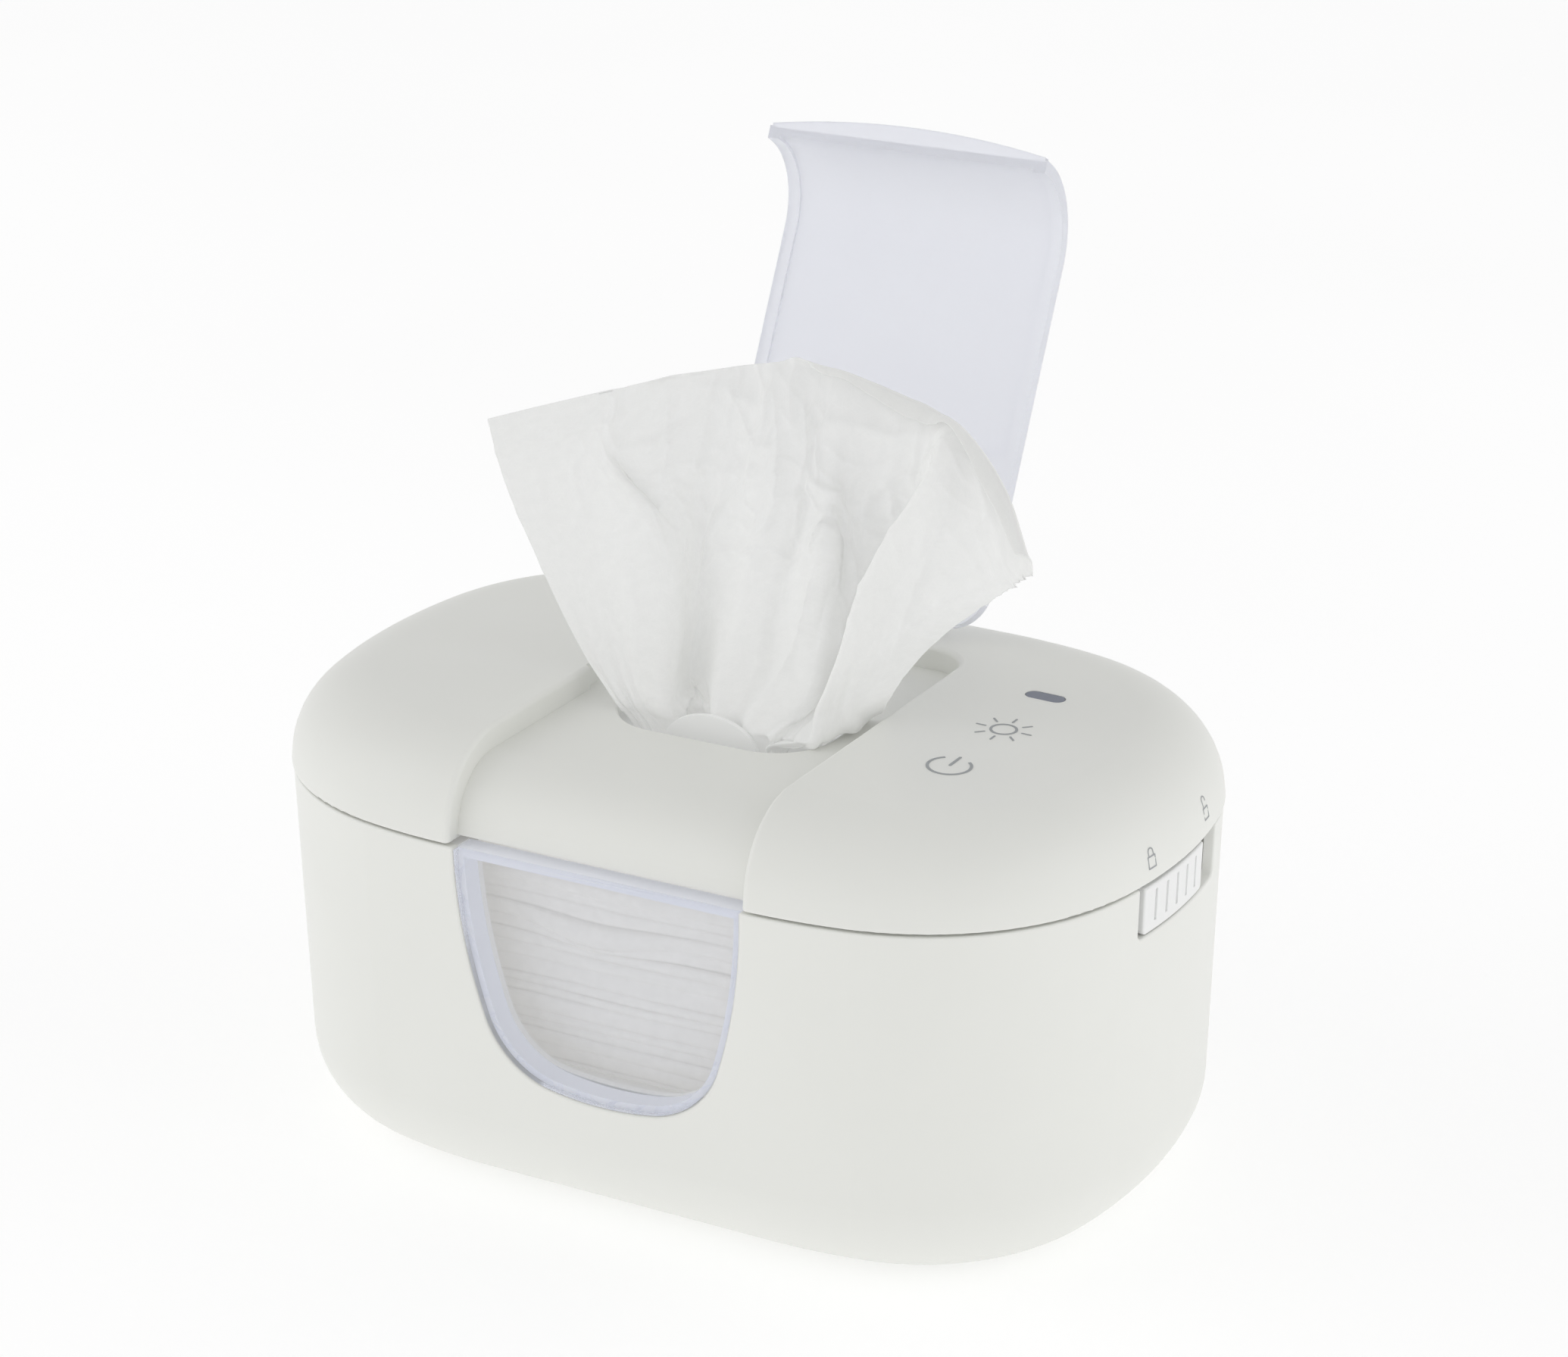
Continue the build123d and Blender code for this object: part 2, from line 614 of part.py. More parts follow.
with BuildPart() as insulation_pad:
    with BuildSketch(Plane.XY.offset(pad_z)):
        RectangleRounded(PLATE_LENGTH - 2, PLATE_DEPTH - 2, 21)
        with Locations((FUSE_X, 0)):
            Rectangle(14, 6, mode=Mode.SUBTRACT)
        with Locations(SENSOR_SPOT):
            Rectangle(8, 5, mode=Mode.SUBTRACT)
        with Locations((LEAD_X, 0)):
            SlotOverall(LEAD_GAP + 5, 4, mode=Mode.SUBTRACT)
    extrude(amount=PAD_T)
save(insulation_pad.part, "insulation_pad")

with BuildPart() as heater_tray:
    with BuildSketch(Plane.XY.offset(tray_z)):
        add(outline(OVERHANG + 14))
        with Locations((LEAD_X, 0)):
            SlotOverall(LEAD_GAP + 5, 4, mode=Mode.SUBTRACT)
    extrude(amount=TRAY_T)
    with BuildSketch(Plane.XY.offset(tray_z + TRAY_T)):
        RectangleRounded(PLATE_LENGTH + 4, PLATE_DEPTH + 4, 24)
        RectangleRounded(PLATE_LENGTH + 0.6, PLATE_DEPTH + 0.6, 22.3, mode=Mode.SUBTRACT)
        Rectangle(PLATE_LENGTH - 30, DEPTH, mode=Mode.SUBTRACT)
    extrude(amount=2.5)
    with Locations(*[(x, y, tray_z + TRAY_T) for x, y in tray_spots]):
        CounterSinkHole(1.2, 2.05, depth=TRAY_T)
save(heater_tray.part, "heater_tray")

with BuildPart() as tray_screws:
    with Locations(*[(x, y, tray_z + TRAY_T) for x, y in tray_spots]):
        add(countersunk_screw(3.8, 1.8, 7.5))
save(tray_screws.part, "tray_screws")

with BuildPart() as thermal_fuse:
    with Locations(Location((FUSE_X, 0, film_z - 1.8), (0, 90, 0))):
        Cylinder(1.8, 11)
    fillet(thermal_fuse.edges(), 0.4)
save(thermal_fuse.part, "thermal_fuse")

with BuildPart() as temperature_sensor:
    with Locations(Location((*SENSOR_SPOT, film_z - 1.4), (0, 90, 0))):
        Cylinder(1.4, 6)
    fillet(temperature_sensor.edges(), 1.2)
save(temperature_sensor.part, "temperature_sensor")

# ---------------------------------------------------------------- control board and power inlet
board_top_z = BOARD_Z + BOARD_T
INLET_PLUG_SPOT = (-24.0, 9.0)
with BuildPart() as control_board:
    with BuildSketch(Plane.XY.offset(BOARD_Z)):
        RectangleRounded(BOARD_LENGTH, BOARD_DEPTH, 2)
        with Locations(*board_spots):
            Circle(1.2, mode=Mode.SUBTRACT)
    extrude(amount=BOARD_T)
save(control_board.part, "control_board")

with BuildPart() as board_components:
    with Locations((*INLET_PLUG_SPOT, board_top_z), (LEAD_X, 0, board_top_z)):
        Box(9, 7, 4.5, align=(Align.CENTER, Align.CENTER, Align.MIN))
    with Locations((0, -4, board_top_z)):
        Box(8, 8, 1.2, align=(Align.CENTER, Align.CENTER, Align.MIN))
    with Locations((-12, -12, board_top_z), (-20, -9, board_top_z)):
        Cylinder(3.1, 7.5, align=(Align.CENTER, Align.CENTER, Align.MIN))
    with Locations((11, 12, board_top_z)):
        Box(7, 7, 3.5, align=(Align.CENTER, Align.CENTER, Align.MIN))
    with Locations((14, -14, board_top_z)):
        Box(6, 5, 2.4, align=(Align.CENTER, Align.CENTER, Align.MIN))
save(board_components.part, "board_components")

with BuildPart() as board_screws:
    with Locations(*[(x, y, board_top_z + 0.9) for x, y in board_spots]):
        add(countersunk_screw(3.6, 1.6, 5.5))
save(board_screws.part, "board_screws")

inlet_back_y = 47.5
inlet_face_y = HALF_D - 9.65
with BuildPart() as power_inlet:
    with BuildSketch(Plane.XZ.offset(-inlet_back_y)):
        with Locations((INLET_X, INLET_Z)):
            Rectangle(INLET_BODY, INLET_BODY)
    extrude(amount=inlet_back_y - inlet_face_y)
    with BuildSketch(Plane.XZ.offset(-inlet_face_y)):
        with Locations((INLET_X, INLET_Z)):
            Circle(inlet_nose_dia / 2)
    extrude(amount=-5.0)
    nose_end_y = inlet_face_y + 5.0
    with BuildSketch(Plane.XZ.offset(-nose_end_y)):
        with Locations((INLET_X, INLET_Z)):
            Circle(INLET_BORE / 2)
            Circle(1.0, mode=Mode.SUBTRACT)
    extrude(amount=10, mode=Mode.SUBTRACT)
save(power_inlet.part, "power_inlet")

inlet_lead_x = INLET_X - 2
inlet_plug_z = board_top_z + 2.2
with BuildPart() as inlet_leads:
    for side in (-1.5, 1.5):
        add(wire(
            [
                (inlet_lead_x + side, inlet_back_y, INLET_Z),
                (inlet_lead_x + side, inlet_back_y - 9, INLET_Z),
                (INLET_PLUG_SPOT[0] + side, INLET_PLUG_SPOT[1] + 14, inlet_plug_z),
                (INLET_PLUG_SPOT[0] + side, INLET_PLUG_SPOT[1] + 3.5, inlet_plug_z),
            ],
            4.5, 1.6,
        ))
save(inlet_leads.part, "inlet_leads")

lead_foot_z = board_top_z + 4.5
with BuildPart() as heater_leads:
    with BuildSketch(Plane.XY.offset(lead_foot_z)):
        with Locations((LEAD_X - LEAD_GAP / 2, 0), (LEAD_X + LEAD_GAP / 2, 0)):
            Circle(0.8)
    extrude(amount=film_z - lead_foot_z)
save(heater_leads.part, "heater_leads")

# ---------------------------------------------------------------- night light behind the window's sill
LIGHT_SPREAD = 14.5
LIGHT_BOARD_DEPTH = 3.2
light_board_z = light_shelf_z + 1.2
light_wall_y = TUB_WALL + OVERHANG + (TUB_TOP_Z - light_board_z) * tan(radians(TUB_DRAFT_DEG)) - HALF_D
light_y = light_wall_y + FIT + LIGHT_BOARD_DEPTH / 2
with BuildPart() as night_light_board:
    with BuildSketch(Plane.XY.offset(light_board_z)):
        with Locations((0, light_y)):
            Rectangle(42, LIGHT_BOARD_DEPTH)
    extrude(amount=1.0)
save(night_light_board.part, "night_light_board")

with BuildPart() as night_light_leds:
    with Locations(*[(x, light_y, light_board_z + 1.0) for x in (-LIGHT_SPREAD, LIGHT_SPREAD)]):
        Cylinder(1.5, 1.7, align=(Align.CENTER, Align.CENTER, Align.MIN))
    fillet(night_light_leds.edges().group_by(Axis.Z)[-1], 0.7)
save(night_light_leds.part, "night_light_leds")

with BuildPart() as light_leads:
    for x in (LIGHT_LEAD_X, LIGHT_LEAD_X + LIGHT_LEAD_GAP):
        add(wire(
            [
                (x, light_y, light_board_z),
                (x, light_y, light_board_z - 6),
                (x, light_y + 6, 13.5),
                (x, -40, 11),
                (x, -30, BOARD_Z + 0.8),
                (x, -BOARD_DEPTH / 2, BOARD_Z + 0.8),
            ],
            4.0, 1.5,
        ))
save(light_leads.part, "light_leads")

# ---------------------------------------------------------------- spring contacts beside the hinge
CONTACT_X = flange_step - HALF_L - 2.2
CONTACT_PITCH = 4.0
CONTACT_COUNT = 4
contact_top_z = FLANGE_Z + 1.6
contact_ys = [(i - (CONTACT_COUNT - 1) / 2) * CONTACT_PITCH for i in range(CONTACT_COUNT)]
with BuildPart() as contact_block:
    with BuildSketch(Plane.XY.offset(contact_top_z - 8)):
        with Locations((CONTACT_X, 0)):
            RectangleRounded(3.4, CONTACT_PITCH * CONTACT_COUNT + 1, 0.5)
        with Locations(*[(CONTACT_X, y) for y in contact_ys]):
            Circle(0.7, mode=Mode.SUBTRACT)
    extrude(amount=8)
save(contact_block.part, "contact_block")

with BuildPart() as contact_pins:
    with BuildSketch(Plane.XY.offset(contact_top_z - 7)):
        with Locations(*[(CONTACT_X, y) for y in contact_ys]):
            Circle(0.6)
    extrude(amount=COVER_EDGE_Z - SEAM_GAP - contact_top_z + 7)
    fillet(contact_pins.edges().group_by(Axis.Z)[-1], 0.4)
save(contact_pins.part, "contact_pins")

with BuildPart() as contact_leads:
    add(wire(
        [
            (CONTACT_X, 0, contact_top_z - 8),
            (CONTACT_X, 0, 60),
            (CONTACT_X + 1.4, 0, 36),
            (CONTACT_X + 9, 0, 15),
            (-60, 0, BOARD_Z + 1.2),
            (-BOARD_LENGTH / 2, 0, BOARD_Z + 1.2),
        ],
        9.0, 2.4,
    ))
save(contact_leads.part, "contact_leads")

# ---------------------------------------------------------------- slide lock
rail_outer = OVERHANG + TUB_WALL + 0.7
rail_inner = rail_outer + RAIL_T
keeper_inner = rail_inner + SLACK + KEEPER_T
lock_low_z = LOCK_SLOT_BOTTOM_Z + SLACK
lock_top_z = TUB_TOP_Z - 0.6
rail_low_z = LOCK_SLOT_BOTTOM_Z - 1.3
rail_top_z = FLANGE_Z + 1.6
latch_front_y = LOCK_BACK_Y - 2.2
NOSE_REACH = 3.0
nose_z = COVER_EDGE_Z + 2.5
nose_top_z = nose_z + 1.6

with BuildPart() as lock_slider:
    add(tub_form(0.15, lock_low_z, high_z=lock_top_z))
    with BuildSketch(Plane.XY.offset(lock_low_z)):
        add(end_sector(-2, rail_outer, LOCK_FRONT_Y, LOCK_BACK_Y))
    extrude(amount=lock_top_z - lock_low_z, mode=Mode.INTERSECT)
    fillet(lock_slider.edges().group_by(Axis.Z)[0].filter_by(GeomType.LINE), LOCK_SLOT_CORNER_R - SLACK)
    fillet(end_face_edges(lock_slider.edges()), RIM_R)

    # grip grooves down the front of the slider
    grip_middle_y = (LOCK_FRONT_Y + LOCK_BACK_Y) / 2
    for i in range(LOCK_GRIP_COUNT):
        y = grip_middle_y + (i - (LOCK_GRIP_COUNT - 1) / 2) * LOCK_GRIP_PITCH
        with BuildSketch(Plane.XY.offset(lock_low_z + 2.2)):
            add(end_sector(-2, OVERHANG + 0.35 + LOCK_GRIP_DEPTH, y - LOCK_GRIP_W / 2, y + LOCK_GRIP_W / 2))
        extrude(amount=lock_top_z - lock_low_z - 3.6, mode=Mode.SUBTRACT)

    # rail behind the tub's wall, and the latch that reaches up into the cover
    with BuildSketch(Plane.XY.offset(rail_low_z)):
        add(end_sector(rail_outer, rail_inner, LOCK_FRONT_Y - 4, LOCK_BACK_Y + 1.6))
    extrude(amount=rail_top_z - rail_low_z)
    with BuildSketch(Plane.XY.offset(rail_top_z)):
        add(end_sector(rail_outer, rail_inner, latch_front_y, LOCK_BACK_Y + 1.6))
    extrude(amount=nose_top_z - rail_top_z)
    with BuildSketch(Plane.XY.offset(nose_z)):
        add(end_sector(rail_outer, rail_inner, latch_front_y - NOSE_REACH, latch_front_y))
    extrude(amount=nose_top_z - nose_z)
save(lock_slider.part, "lock_slider")

keeper_low_z = rail_low_z - 2.9
with BuildPart() as lock_keeper:
    with BuildSketch(Plane.XY.offset(keeper_low_z)):
        add(end_sector(
            OVERHANG + TUB_WALL + 0.55, keeper_inner, LOCK_SLOT_FRONT_Y - 5.5, LOCK_SLOT_BACK_Y + 3.5
        ))
    extrude(amount=1.4)
    with BuildSketch(Plane.XY.offset(keeper_low_z)):
        add(end_sector(
            rail_inner + SLACK, keeper_inner, LOCK_SLOT_FRONT_Y - 5.5, LOCK_SLOT_BACK_Y + 3.5
        ))
    extrude(amount=rail_top_z - keeper_low_z - 1)
save(lock_keeper.part, "lock_keeper")

spring_z = keeper_low_z + 1.4
with BuildPart() as lock_spring:
    with BuildSketch(Plane.YZ.offset(HALF_L - rail_outer - 1.4)):
        with BuildLine() as bow:
            Polyline((-11, spring_z), (-9, spring_z), (-4, spring_z + 0.7))
            Polyline((-4, spring_z + 0.7), (4, spring_z + 0.7), (9, spring_z), (11, spring_z))
            offset(amount=0.35, side=Side.LEFT)
        make_face()
    extrude(amount=1.1)
save(lock_spring.part, "lock_spring")

# ---------------------------------------------------------------- cover hinge pin
with BuildPart() as cover_hinge_pin:
    with BuildSketch(Plane.XZ):
        with Locations((HINGE_X, HINGE_Z)):
            Circle(HINGE_PIN_DIA / 2)
    extrude(amount=HINGE_HALF - 0.3, both=True)
save(cover_hinge_pin.part, "cover_hinge_pin")

# ---------------------------------------------------------------- top cover
cover_outside = cover_form(0)
cover_inside = cover_form(COVER_WALL, low_z=COVER_EDGE_Z - 1)
hinge_well_half = LID_KNUCKLE_OUT + 2.5
hinge_well_back_y = LID_AXIS_Y + LID_BARREL_R + 0.6
hinge_well_z = LID_AXIS_Z - LID_BARREL_R - 0.6
pocket_middle = (-CHANNEL_HALF - POCKET_WIDTH / 2, POCKET_FRONT_Y + POCKET_LENGTH / 2)
liner_spots = [(84.0 * side, 0) for side in (-1, 1)] + [(x, y) for x in (-52, 52) for y in (-46, 46)]
board_post_spots = [(KEY_X - 11, 12.0), (KEY_X + 11, -10.0)]
touch_board_z = TOP_INSIDE_Z - 6.6
touch_board_t = 1.2

# the hollow inside the cover, around the trough that carries the channel, side pocket and hinge well
with BuildPart() as cover_hollow:
    add(cover_inside)
    add(channel_form(TROUGH_T), mode=Mode.SUBTRACT)
    with BuildSketch(Plane.XY.offset(CHANNEL_FLOOR_Z - TROUGH_T)):
        with Locations(pocket_middle):
            Rectangle(POCKET_WIDTH + 2 * TROUGH_T, POCKET_LENGTH + 2 * TROUGH_T)
    extrude(amount=20, mode=Mode.SUBTRACT)
    with BuildSketch(Plane.XY.offset(hinge_well_z - TROUGH_T)):
        with Locations((0, (CHANNEL_BACK_Y + hinge_well_back_y) / 2)):
            Rectangle(2 * (hinge_well_half + TROUGH_T), hinge_well_back_y - CHANNEL_BACK_Y + 2 * TROUGH_T)
    extrude(amount=20, mode=Mode.SUBTRACT)

with BuildPart() as top_cover:
    add(cover_outside)
    add(channel_form(), mode=Mode.SUBTRACT)
    fillet(top_cover.edges(Select.LAST).group_by(Axis.Z)[-1], CHANNEL_EDGE_R)
    add(cover_hollow.part, mode=Mode.SUBTRACT)

    # bosses for the liner and posts for the touch board, hanging from the top
    with BuildSketch(Plane.XY.offset(LINER_Z + LINER_T)):
        with Locations(*liner_spots):
            Circle(3)
    extrude(until=Until.NEXT)
    with BuildSketch(Plane.XY.offset(touch_board_z + touch_board_t)):
        with Locations(*board_post_spots):
            Circle(2.4)
    extrude(until=Until.NEXT)

    # side pocket, mouth and hinge well
    with BuildSketch(Plane.XY.offset(CHANNEL_FLOOR_Z)):
        with Locations((-CHANNEL_HALF, pocket_middle[1])):
            RectangleRounded(2 * POCKET_WIDTH, POCKET_LENGTH, POCKET_WIDTH / 2)
    extrude(amount=20, mode=Mode.SUBTRACT)
    with BuildSketch(Plane.XY.offset(CHANNEL_FLOOR_Z)):
        with Locations((0, MOUTH_Y)):
            RectangleRounded(MOUTH_LENGTH, MOUTH_DEPTH, MOUTH_CORNER_R)
    extrude(amount=10, both=True, mode=Mode.SUBTRACT)
    fillet(top_cover.edges(Select.LAST).group_by(Axis.Z)[-1], MOUTH_EDGE_R)
    with BuildSketch(Plane.XY.offset(hinge_well_z)):
        with Locations((0, (CHANNEL_BACK_Y + hinge_well_back_y) / 2 - 2)):
            Rectangle(2 * hinge_well_half, hinge_well_back_y - CHANNEL_BACK_Y + 4)
    extrude(amount=20, mode=Mode.SUBTRACT)

    # fixed knuckle and bore of the flip lid's hinge
    with BuildSketch(Plane.YZ):
        with Locations((LID_AXIS_Y, LID_AXIS_Z)):
            Circle(LID_BARREL_R)
        with Locations((LID_AXIS_Y, (LID_AXIS_Z + hinge_well_z) / 2 - 0.5)):
            Rectangle(2 * LID_BARREL_R, LID_AXIS_Z - hinge_well_z + 1)
    extrude(amount=LID_KNUCKLE_IN - SLACK, both=True)
    with BuildSketch(Plane.YZ):
        with Locations((LID_AXIS_Y, LID_AXIS_Z)):
            Circle(LID_PIN_DIA / 2 + FIT)
    extrude(amount=hinge_well_half + 1.6, both=True, mode=Mode.SUBTRACT)

    # hole for the indicator's lens
    with BuildSketch(Plane.XY.offset(touch_board_z)):
        with Locations((KEY_X, INDICATOR_Y)):
            SlotOverall(INDICATOR_LENGTH + 2 * FIT, INDICATOR_WIDTH + 2 * FIT)
    extrude(amount=20, mode=Mode.SUBTRACT)

    # the channel's front edge stands back and a little higher than the rest of the rim
    with BuildSketch(Plane.XY.offset(COVER_EDGE_Z)):
        with Locations((0, -HALF_D)):
            Rectangle(2 * CHANNEL_HALF, 20)
    extrude(amount=1.0, mode=Mode.SUBTRACT)

    # screw pilots, hinge knuckle and room for the tub's knuckles
    with Locations(*[Location((x, y, LINER_Z + LINER_T), (180, 0, 0)) for x, y in liner_spots]):
        Hole(0.9, depth=6)
    with Locations(*[
        Location((x, y, touch_board_z + touch_board_t), (180, 0, 0)) for x, y in board_post_spots
    ]):
        Hole(0.8, depth=4)
    with BuildSketch(Plane.XZ):
        add(hinge_knuckle([(1.4 - HALF_L, HINGE_Z + 1), (1.9 - HALF_L, HINGE_Z + 7)]))
    extrude(amount=HINGE_MID_HALF, both=True)
    with BuildSketch(Plane.XZ.offset(HINGE_MID_HALF)):
        with Locations((HINGE_X, HINGE_Z)):
            Circle(HINGE_R + SLACK)
    extrude(amount=HINGE_HALF - HINGE_MID_HALF + SLACK, mode=Mode.SUBTRACT)
    with BuildSketch(Plane.XZ.offset(-HINGE_MID_HALF)):
        with Locations((HINGE_X, HINGE_Z)):
            Circle(HINGE_R + SLACK)
    extrude(amount=HINGE_MID_HALF - HINGE_HALF - SLACK, mode=Mode.SUBTRACT)
    with BuildSketch(Plane.XZ):
        with Locations((HINGE_X, HINGE_Z)):
            Circle(HINGE_PIN_DIA / 2 + FIT)
    extrude(amount=HINGE_HALF, both=True, mode=Mode.SUBTRACT)

    # shelf that carries the contact pads
    pads_z = COVER_EDGE_Z - SEAM_GAP + 0.45
    pads_t = 1.0
    with BuildSketch(Plane.XY.offset(pads_z + pads_t)):
        with Locations((CONTACT_X - 1.4, 0)):
            Rectangle(6.4, CONTACT_PITCH * CONTACT_COUNT + 2)
        with Locations((CONTACT_X, HARNESS_Y)):
            Circle(HARNESS_DIA / 2 + SLACK, mode=Mode.SUBTRACT)
    extrude(amount=1.6)

    # softened rim, but for the short edges at the hinge
    rim_edges = top_cover.edges().filter_by_position(Axis.Z, COVER_EDGE_Z - 0.01, COVER_EDGE_Z + 0.01)
    fillet(rim_edges.filter_by(lambda edge: edge.length > 10), RIM_R)
save(top_cover.part, "top_cover")

# ---------------------------------------------------------------- cover liner, seal and catch
liner_top_z = LINER_Z + LINER_T
chimney_top_z = CHANNEL_FLOOR_Z - TROUGH_T - FIT
guide_z = CHANNEL_FLOOR_Z - 6.5
GUIDE_T = 1.4
SEAL_OUTER = LINER_INSET + 0.5
SEAL_W = 2.4

with BuildPart() as cover_liner:
    with BuildSketch(Plane.XY.offset(LINER_Z)):
        add(outline(LINER_INSET))
    extrude(amount=LINER_T)
    with BuildSketch(Plane.XY.offset(LINER_Z)):
        with Locations((0, MOUTH_Y)):
            RectangleRounded(CHIMNEY_LENGTH, CHIMNEY_DEPTH, MOUTH_CORNER_R + 4)
    extrude(amount=chimney_top_z - LINER_Z)
    with BuildSketch(Plane.XY.offset(LINER_Z)):
        with Locations((0, MOUTH_Y)):
            RectangleRounded(
                CHIMNEY_LENGTH - 2 * CHIMNEY_WALL, CHIMNEY_DEPTH - 2 * CHIMNEY_WALL,
                MOUTH_CORNER_R + 4 - CHIMNEY_WALL,
            )
    extrude(amount=chimney_top_z - LINER_Z, mode=Mode.SUBTRACT)
    with BuildSketch(Plane.XY.offset(guide_z - 1.2)):
        with Locations((0, MOUTH_Y)):
            RectangleRounded(CHIMNEY_LENGTH - 1, CHIMNEY_DEPTH - 1, MOUTH_CORNER_R + 3)
            RectangleRounded(MOUTH_LENGTH, MOUTH_DEPTH, MOUTH_CORNER_R, mode=Mode.SUBTRACT)
    extrude(amount=1.2)
    with Locations(*[Location((x, y, LINER_Z), (180, 0, 0)) for x, y in liner_spots]):
        CounterSinkHole(1.2, 2.05, depth=LINER_T)
save(cover_liner.part, "cover_liner")

with BuildPart() as liner_screws:
    with Locations(*[Location((x, y, LINER_Z), (180, 0, 0)) for x, y in liner_spots]):
        add(countersunk_screw(3.8, 1.8, 6.5))
save(liner_screws.part, "liner_screws")

with BuildPart() as cover_seal:
    with BuildSketch(Plane.XY.offset(FLANGE_Z + FLANGE_T + SLACK)):
        add(outline(SEAL_OUTER))
        add(outline(SEAL_OUTER + SEAL_W), mode=Mode.SUBTRACT)
    extrude(amount=LINER_Z - FLANGE_Z - FLANGE_T - SLACK)
save(cover_seal.part, "cover_seal")

catch_z = COVER_EDGE_Z + 0.3
catch_back_y = latch_front_y - NOSE_REACH - 0.45
with BuildPart() as cover_catch:
    with BuildSketch(Plane.XY.offset(catch_z)):
        add(end_sector(rail_outer, rail_inner, catch_back_y - 4.2, catch_back_y))
    extrude(amount=nose_z - SLACK - catch_z)
    with BuildSketch(Plane.XY.offset(catch_z)):
        add(end_sector(rail_outer, rail_inner, catch_back_y - 4.2, catch_back_y - 2.6))
    extrude(amount=10)
    with BuildSketch(Plane.XY.offset(catch_z + 6.5)):
        add(end_sector(COVER_WALL, rail_inner, catch_back_y - 6.4, catch_back_y - 1.6))
    extrude(amount=3.5)
    add(cover_form(COVER_WALL), mode=Mode.INTERSECT)
save(cover_catch.part, "cover_catch")

# ---------------------------------------------------------------- wipe guide under the mouth
SLOT_LENGTH = 40.0
SLOT_DEPTH = 36.0
TONGUE_HALF = 12.0
TONGUE_RISE = 8.4
TONGUE_T = 1.3
REAR_TONGUE_DROP = 1.2      # the flip lid is thicker over the rear tongue
guide_top_z = guide_z + GUIDE_T
with BuildPart() as wipe_guide:
    with BuildSketch(Plane.XY.offset(guide_z)):
        with Locations((0, MOUTH_Y)):
            RectangleRounded(
                CHIMNEY_LENGTH - 2 * CHIMNEY_WALL - 2 * FIT, CHIMNEY_DEPTH - 2 * CHIMNEY_WALL - 2 * FIT,
                MOUTH_CORNER_R + 4 - CHIMNEY_WALL - FIT,
            )
            RectangleRounded(SLOT_LENGTH, SLOT_DEPTH, 12, mode=Mode.SUBTRACT)
    extrude(amount=GUIDE_T)
    for side in (-1, 1):
        tongue_y = MOUTH_Y + side * (SLOT_DEPTH / 2 + TONGUE_T / 2)
        with BuildSketch(Plane.XZ.offset(-tongue_y)):
            with Locations((0, guide_top_z)):
                Ellipse(TONGUE_HALF, TONGUE_RISE - max(side, 0) * REAR_TONGUE_DROP)
            with Locations((0, guide_top_z - 0.5 - TONGUE_RISE)):
                Rectangle(4 * TONGUE_HALF, 2 * TONGUE_RISE, mode=Mode.SUBTRACT)
        extrude(amount=TONGUE_T / 2, both=True)
save(wipe_guide.part, "wipe_guide")

# ---------------------------------------------------------------- touch keys and indicator
key_under_z = TOP_INSIDE_Z - CROWN * ((KEY_X + 4) / HALF_L) ** 2
with BuildPart() as touch_board:
    with BuildSketch(Plane.XY.offset(touch_board_z)):
        with Locations((KEY_X, 0)):
            RectangleRounded(TOUCH_BOARD_LENGTH, TOUCH_BOARD_DEPTH, 2)
        with Locations(*board_post_spots):
            Circle(1.2, mode=Mode.SUBTRACT)
    extrude(amount=touch_board_t)
save(touch_board.part, "touch_board")

with BuildPart() as touch_board_screws:
    with Locations(*[Location((x, y, touch_board_z - 0.9), (180, 0, 0)) for x, y in board_post_spots]):
        add(countersunk_screw(3.6, 1.6, 5.0))
save(touch_board_screws.part, "touch_board_screws")

pad_foot_z = touch_board_z + touch_board_t
with BuildPart() as touch_pads:
    with Locations((KEY_X, POWER_KEY_Y, pad_foot_z), (KEY_X, LIGHT_KEY_Y, pad_foot_z)):
        Cylinder(4, key_under_z - pad_foot_z, align=(Align.CENTER, Align.CENTER, Align.MIN))
save(touch_pads.part, "touch_pads")

with BuildPart() as status_led:
    with Locations((KEY_X, INDICATOR_Y, pad_foot_z)):
        Box(3.2, 1.6, 0.9, align=(Align.CENTER, Align.CENTER, Align.MIN))
save(status_led.part, "status_led")

with BuildPart() as indicator_lens:
    with BuildSketch(Plane.XY.offset(pad_foot_z + 1.2)):
        with Locations((KEY_X, INDICATOR_Y)):
            SlotOverall(INDICATOR_LENGTH, INDICATOR_WIDTH)
    extrude(amount=20)
    with BuildSketch(Plane.XY.offset(pad_foot_z + 1.2)):
        with Locations((KEY_X, INDICATOR_Y)):
            SlotOverall(INDICATOR_LENGTH + 3, INDICATOR_WIDTH + 3)
    extrude(amount=TOP_INSIDE_Z - 1.4 - CROWN * 0.5 - pad_foot_z - 1.2)
    add(cover_form(0.05), mode=Mode.INTERSECT)
save(indicator_lens.part, "indicator_lens")

with BuildPart() as contact_pads:
    with BuildSketch(Plane.XY.offset(pads_z)):
        with Locations((CONTACT_X, 0)):
            Rectangle(3.4, CONTACT_PITCH * CONTACT_COUNT)
    extrude(amount=pads_t)
save(contact_pads.part, "contact_pads")

harness_z = liner_top_z + 2.2
with BuildPart() as cover_harness:
    add(wire(
        [
            (CONTACT_X, HARNESS_Y, pads_z + pads_t),
            (CONTACT_X, HARNESS_Y, harness_z),
            (-72, 28, harness_z),
            (-30, 54, harness_z),
            (24, 54, harness_z),
            (40, 37, harness_z),
            (KEY_X - 2, 27, harness_z),
            (KEY_X - 2, 27, touch_board_z),
        ],
        3.0, HARNESS_DIA,
    ))
save(cover_harness.part, "cover_harness")

